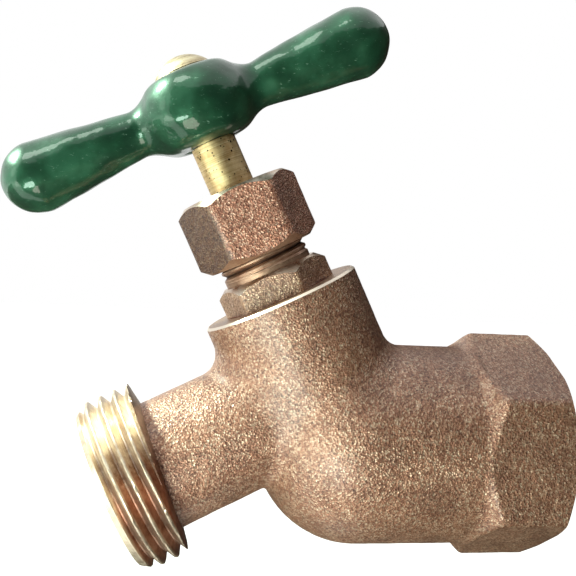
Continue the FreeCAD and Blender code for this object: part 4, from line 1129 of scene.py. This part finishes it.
# %% Packing nut
NUT_FLATS, NUT_TURN, NUT_CORNER, NUT_ROWS = 17.4, np.radians(-4.8), 0.7, 60
BORE_CHAMFER = 0.5
nut_points = node_points("packing_nut")
along, radius, _ = STEM.coordinates(nut_points)
NUT_BOTTOM, NUT_TOP = along.min(), along.max()
bore = radius[along < NUT_BOTTOM + NEAR].min()
hole = radius[along > NUT_TOP - NEAR].min()
shelf = along[radius < hole + NEAR].min()
nut_turned = NUT_FLATS / 2 - TURNED_INSET
nut_side = cast_hexagon(NUT_FLATS, NUT_CORNER, NUT_TURN, NUT_BOTTOM, NUT_TOP, NUT_ROWS, bevelled_foot=True)
inner_edge = (NUT_BOTTOM + BORE_CHAMFER, bore - BORE_CHAMFER)
nut_foot = lathe(STEM, [inner_edge, (NUT_BOTTOM, bore), (NUT_BOTTOM, nut_turned)], nut_azimuth)
nut_head = lathe(STEM, [(NUT_TOP, nut_turned), (NUT_TOP, hole), (shelf, hole), (shelf, bore - BORE_CHAMFER),
                        inner_edge], nut_azimuth)
nut_parts = [np.concatenate([nut_foot, nut_side[:1]]), nut_side, np.concatenate([nut_side[-1:], nut_head])]
mesh_piece("packing_nut_skin", [(part, grid_faces(len(part), NUT_COLUMNS)) for part in nut_parts],
           [oiled_bronze, nut_bronze, turned_boss], "valve_body", "cast_bronze", "packing_nut",
           sharp_angle=25)

# %% [markdown]
# The bonnet stands in the boss. Above its hexagon come a plain ring and the fine thread that the nut winds
# on; two of its grooves show below the nut. The rows of that part follow the helix, as the hose thread's do.
# Its bore and the part in the boss are the frame's own faces, merged.

# %% Sizes of the bonnet
BONNET_FLATS, BONNET_TURN, BONNET_CORNER, BONNET_ROWS = 15.875, np.radians(-15.0), 0.3, 30
RING_RADIUS, RING_HEIGHT, RING_FOOT = 7.0, 1.1, 0.5
FINE_PITCH, FINE_DEPTH, FINE_CREST, FINE_START, FINE_ROWS = 1.27, 0.6, 0.15, 0.5, 12
bonnet_points = node_points("bonnet")
along, radius, _ = STEM.coordinates(bonnet_points)
BONNET_TOP = along.max()
BOX_RADIUS = radius[along > BONNET_TOP - NEAR].min()
SHOULDER = along[radius > BONNET_FLATS / 2 - TURNED_INSET].max()
print(f"bonnet's shoulder at {SHOULDER:.2f}, top at {BONNET_TOP:.2f}, stuffing box {BOX_RADIUS:.2f}")


# %% Bonnet
def neck_radius(along, azimuth):
    """Radius of the bonnet's neck: a ring, then a pointed groove on a helix that soon has its full depth."""
    above_ring = along - SHOULDER - RING_HEIGHT
    turns = above_ring / FINE_PITCH - azimuth / (2 * np.pi)
    from_groove = np.abs(turns - np.round(turns)) * FINE_PITCH
    hollow = np.clip(1 - from_groove / (FINE_PITCH / 2 - FINE_CREST), 0, 1)
    start = np.clip(above_ring / FINE_START + 0.5, 0, 1)
    chamfer = RING_RADIUS - FINE_DEPTH + BONNET_TOP - along
    return np.minimum(RING_RADIUS - FINE_DEPTH * hollow * start, chamfer)


bonnet_side = cast_hexagon(BONNET_FLATS, BONNET_CORNER, BONNET_TURN, BOSS_TOP, SHOULDER, BONNET_ROWS,
                           bevelled_foot=False)
bonnet_foot = np.concatenate([lathe(STEM, [(BOSS_TOP, RING_RADIUS - RING_FOOT)], nut_azimuth), bonnet_side])
bonnet_head = lathe(STEM, [(SHOULDER, BONNET_FLATS / 2 - TURNED_INSET), (SHOULDER, RING_RADIUS)],
                    nut_azimuth)
bonnet_bevel = np.concatenate([bonnet_side[-1:], bonnet_head])
neck_turn = np.linspace(0, 2 * np.pi, NUT_COLUMNS + 1)
neck_turns = np.arange(-1, (BONNET_TOP - SHOULDER) / FINE_PITCH + 1, 1 / FINE_ROWS)[:, None]
neck_stations = SHOULDER + FINE_PITCH * neck_turns + FINE_PITCH * neck_turn / (2 * np.pi)
neck_stations = np.clip(neck_stations, SHOULDER, BONNET_TOP)
bonnet_neck = np.concatenate([STEM.point(neck_stations, neck_radius(neck_stations, neck_turn), neck_turn),
                              lathe(STEM, [(BONNET_TOP, BOX_RADIUS)], neck_turn)])
bonnet_parts = [(bonnet_foot, grid_faces(len(bonnet_foot), NUT_COLUMNS)),
                (bonnet_bevel, grid_faces(len(bonnet_bevel), NUT_COLUMNS)),
                (bonnet_neck, grid_faces(len(bonnet_neck), len(neck_turn), closed=False))]
mesh_piece("bonnet_skin", bonnet_parts, [bonnet_bronze, turned_boss, oiled_bronze], "valve_body",
           "turned_brass", "bonnet", sharp_angle=25)

# %% The inside of the bonnet
triangles = frame_triangles("bonnet")
along, radius, _ = STEM.coordinates(bonnet_points[triangles].mean(axis=1))
hidden = (along < BOSS_TOP - NEAR) | (radius < BOX_RADIUS + NEAR)
mesh_piece("bonnet_inside", [(bonnet_points, triangles[hidden])], oiled_bronze, "valve_body", "turned_brass",
           "bonnet", sharp_angle=30)

# %% [markdown]
# The stem, the two screws and the small parts inside have the right shape already, so they keep the frame's
# meshes and only get their finishes. What is not named here is either packing, which is pressed graphite, or
# a piece that stays hidden because a new one stands for it.

# %% Finishes of the frame's own pieces
FINISH = {"stem": stem_brass, "handle_screw": screw_brass, "washer_screw": screw_brass,
          "packing_gland": screw_brass, "seat_washer": rubber, "bonnet_gasket": fibre}
for name, node in nodes.items():
    node.data.materials.clear()
    node.data.materials.append(FINISH.get(name, graphite))
print("finishes:", {name: node.data.materials[0].name for name, node in nodes.items()})

# %% [markdown]
# The view transform is Standard, so that a colour shows about as it is written. No finish may make the tap
# grow.

# %% Close
bpy.context.scene.view_settings.view_transform = "Standard"
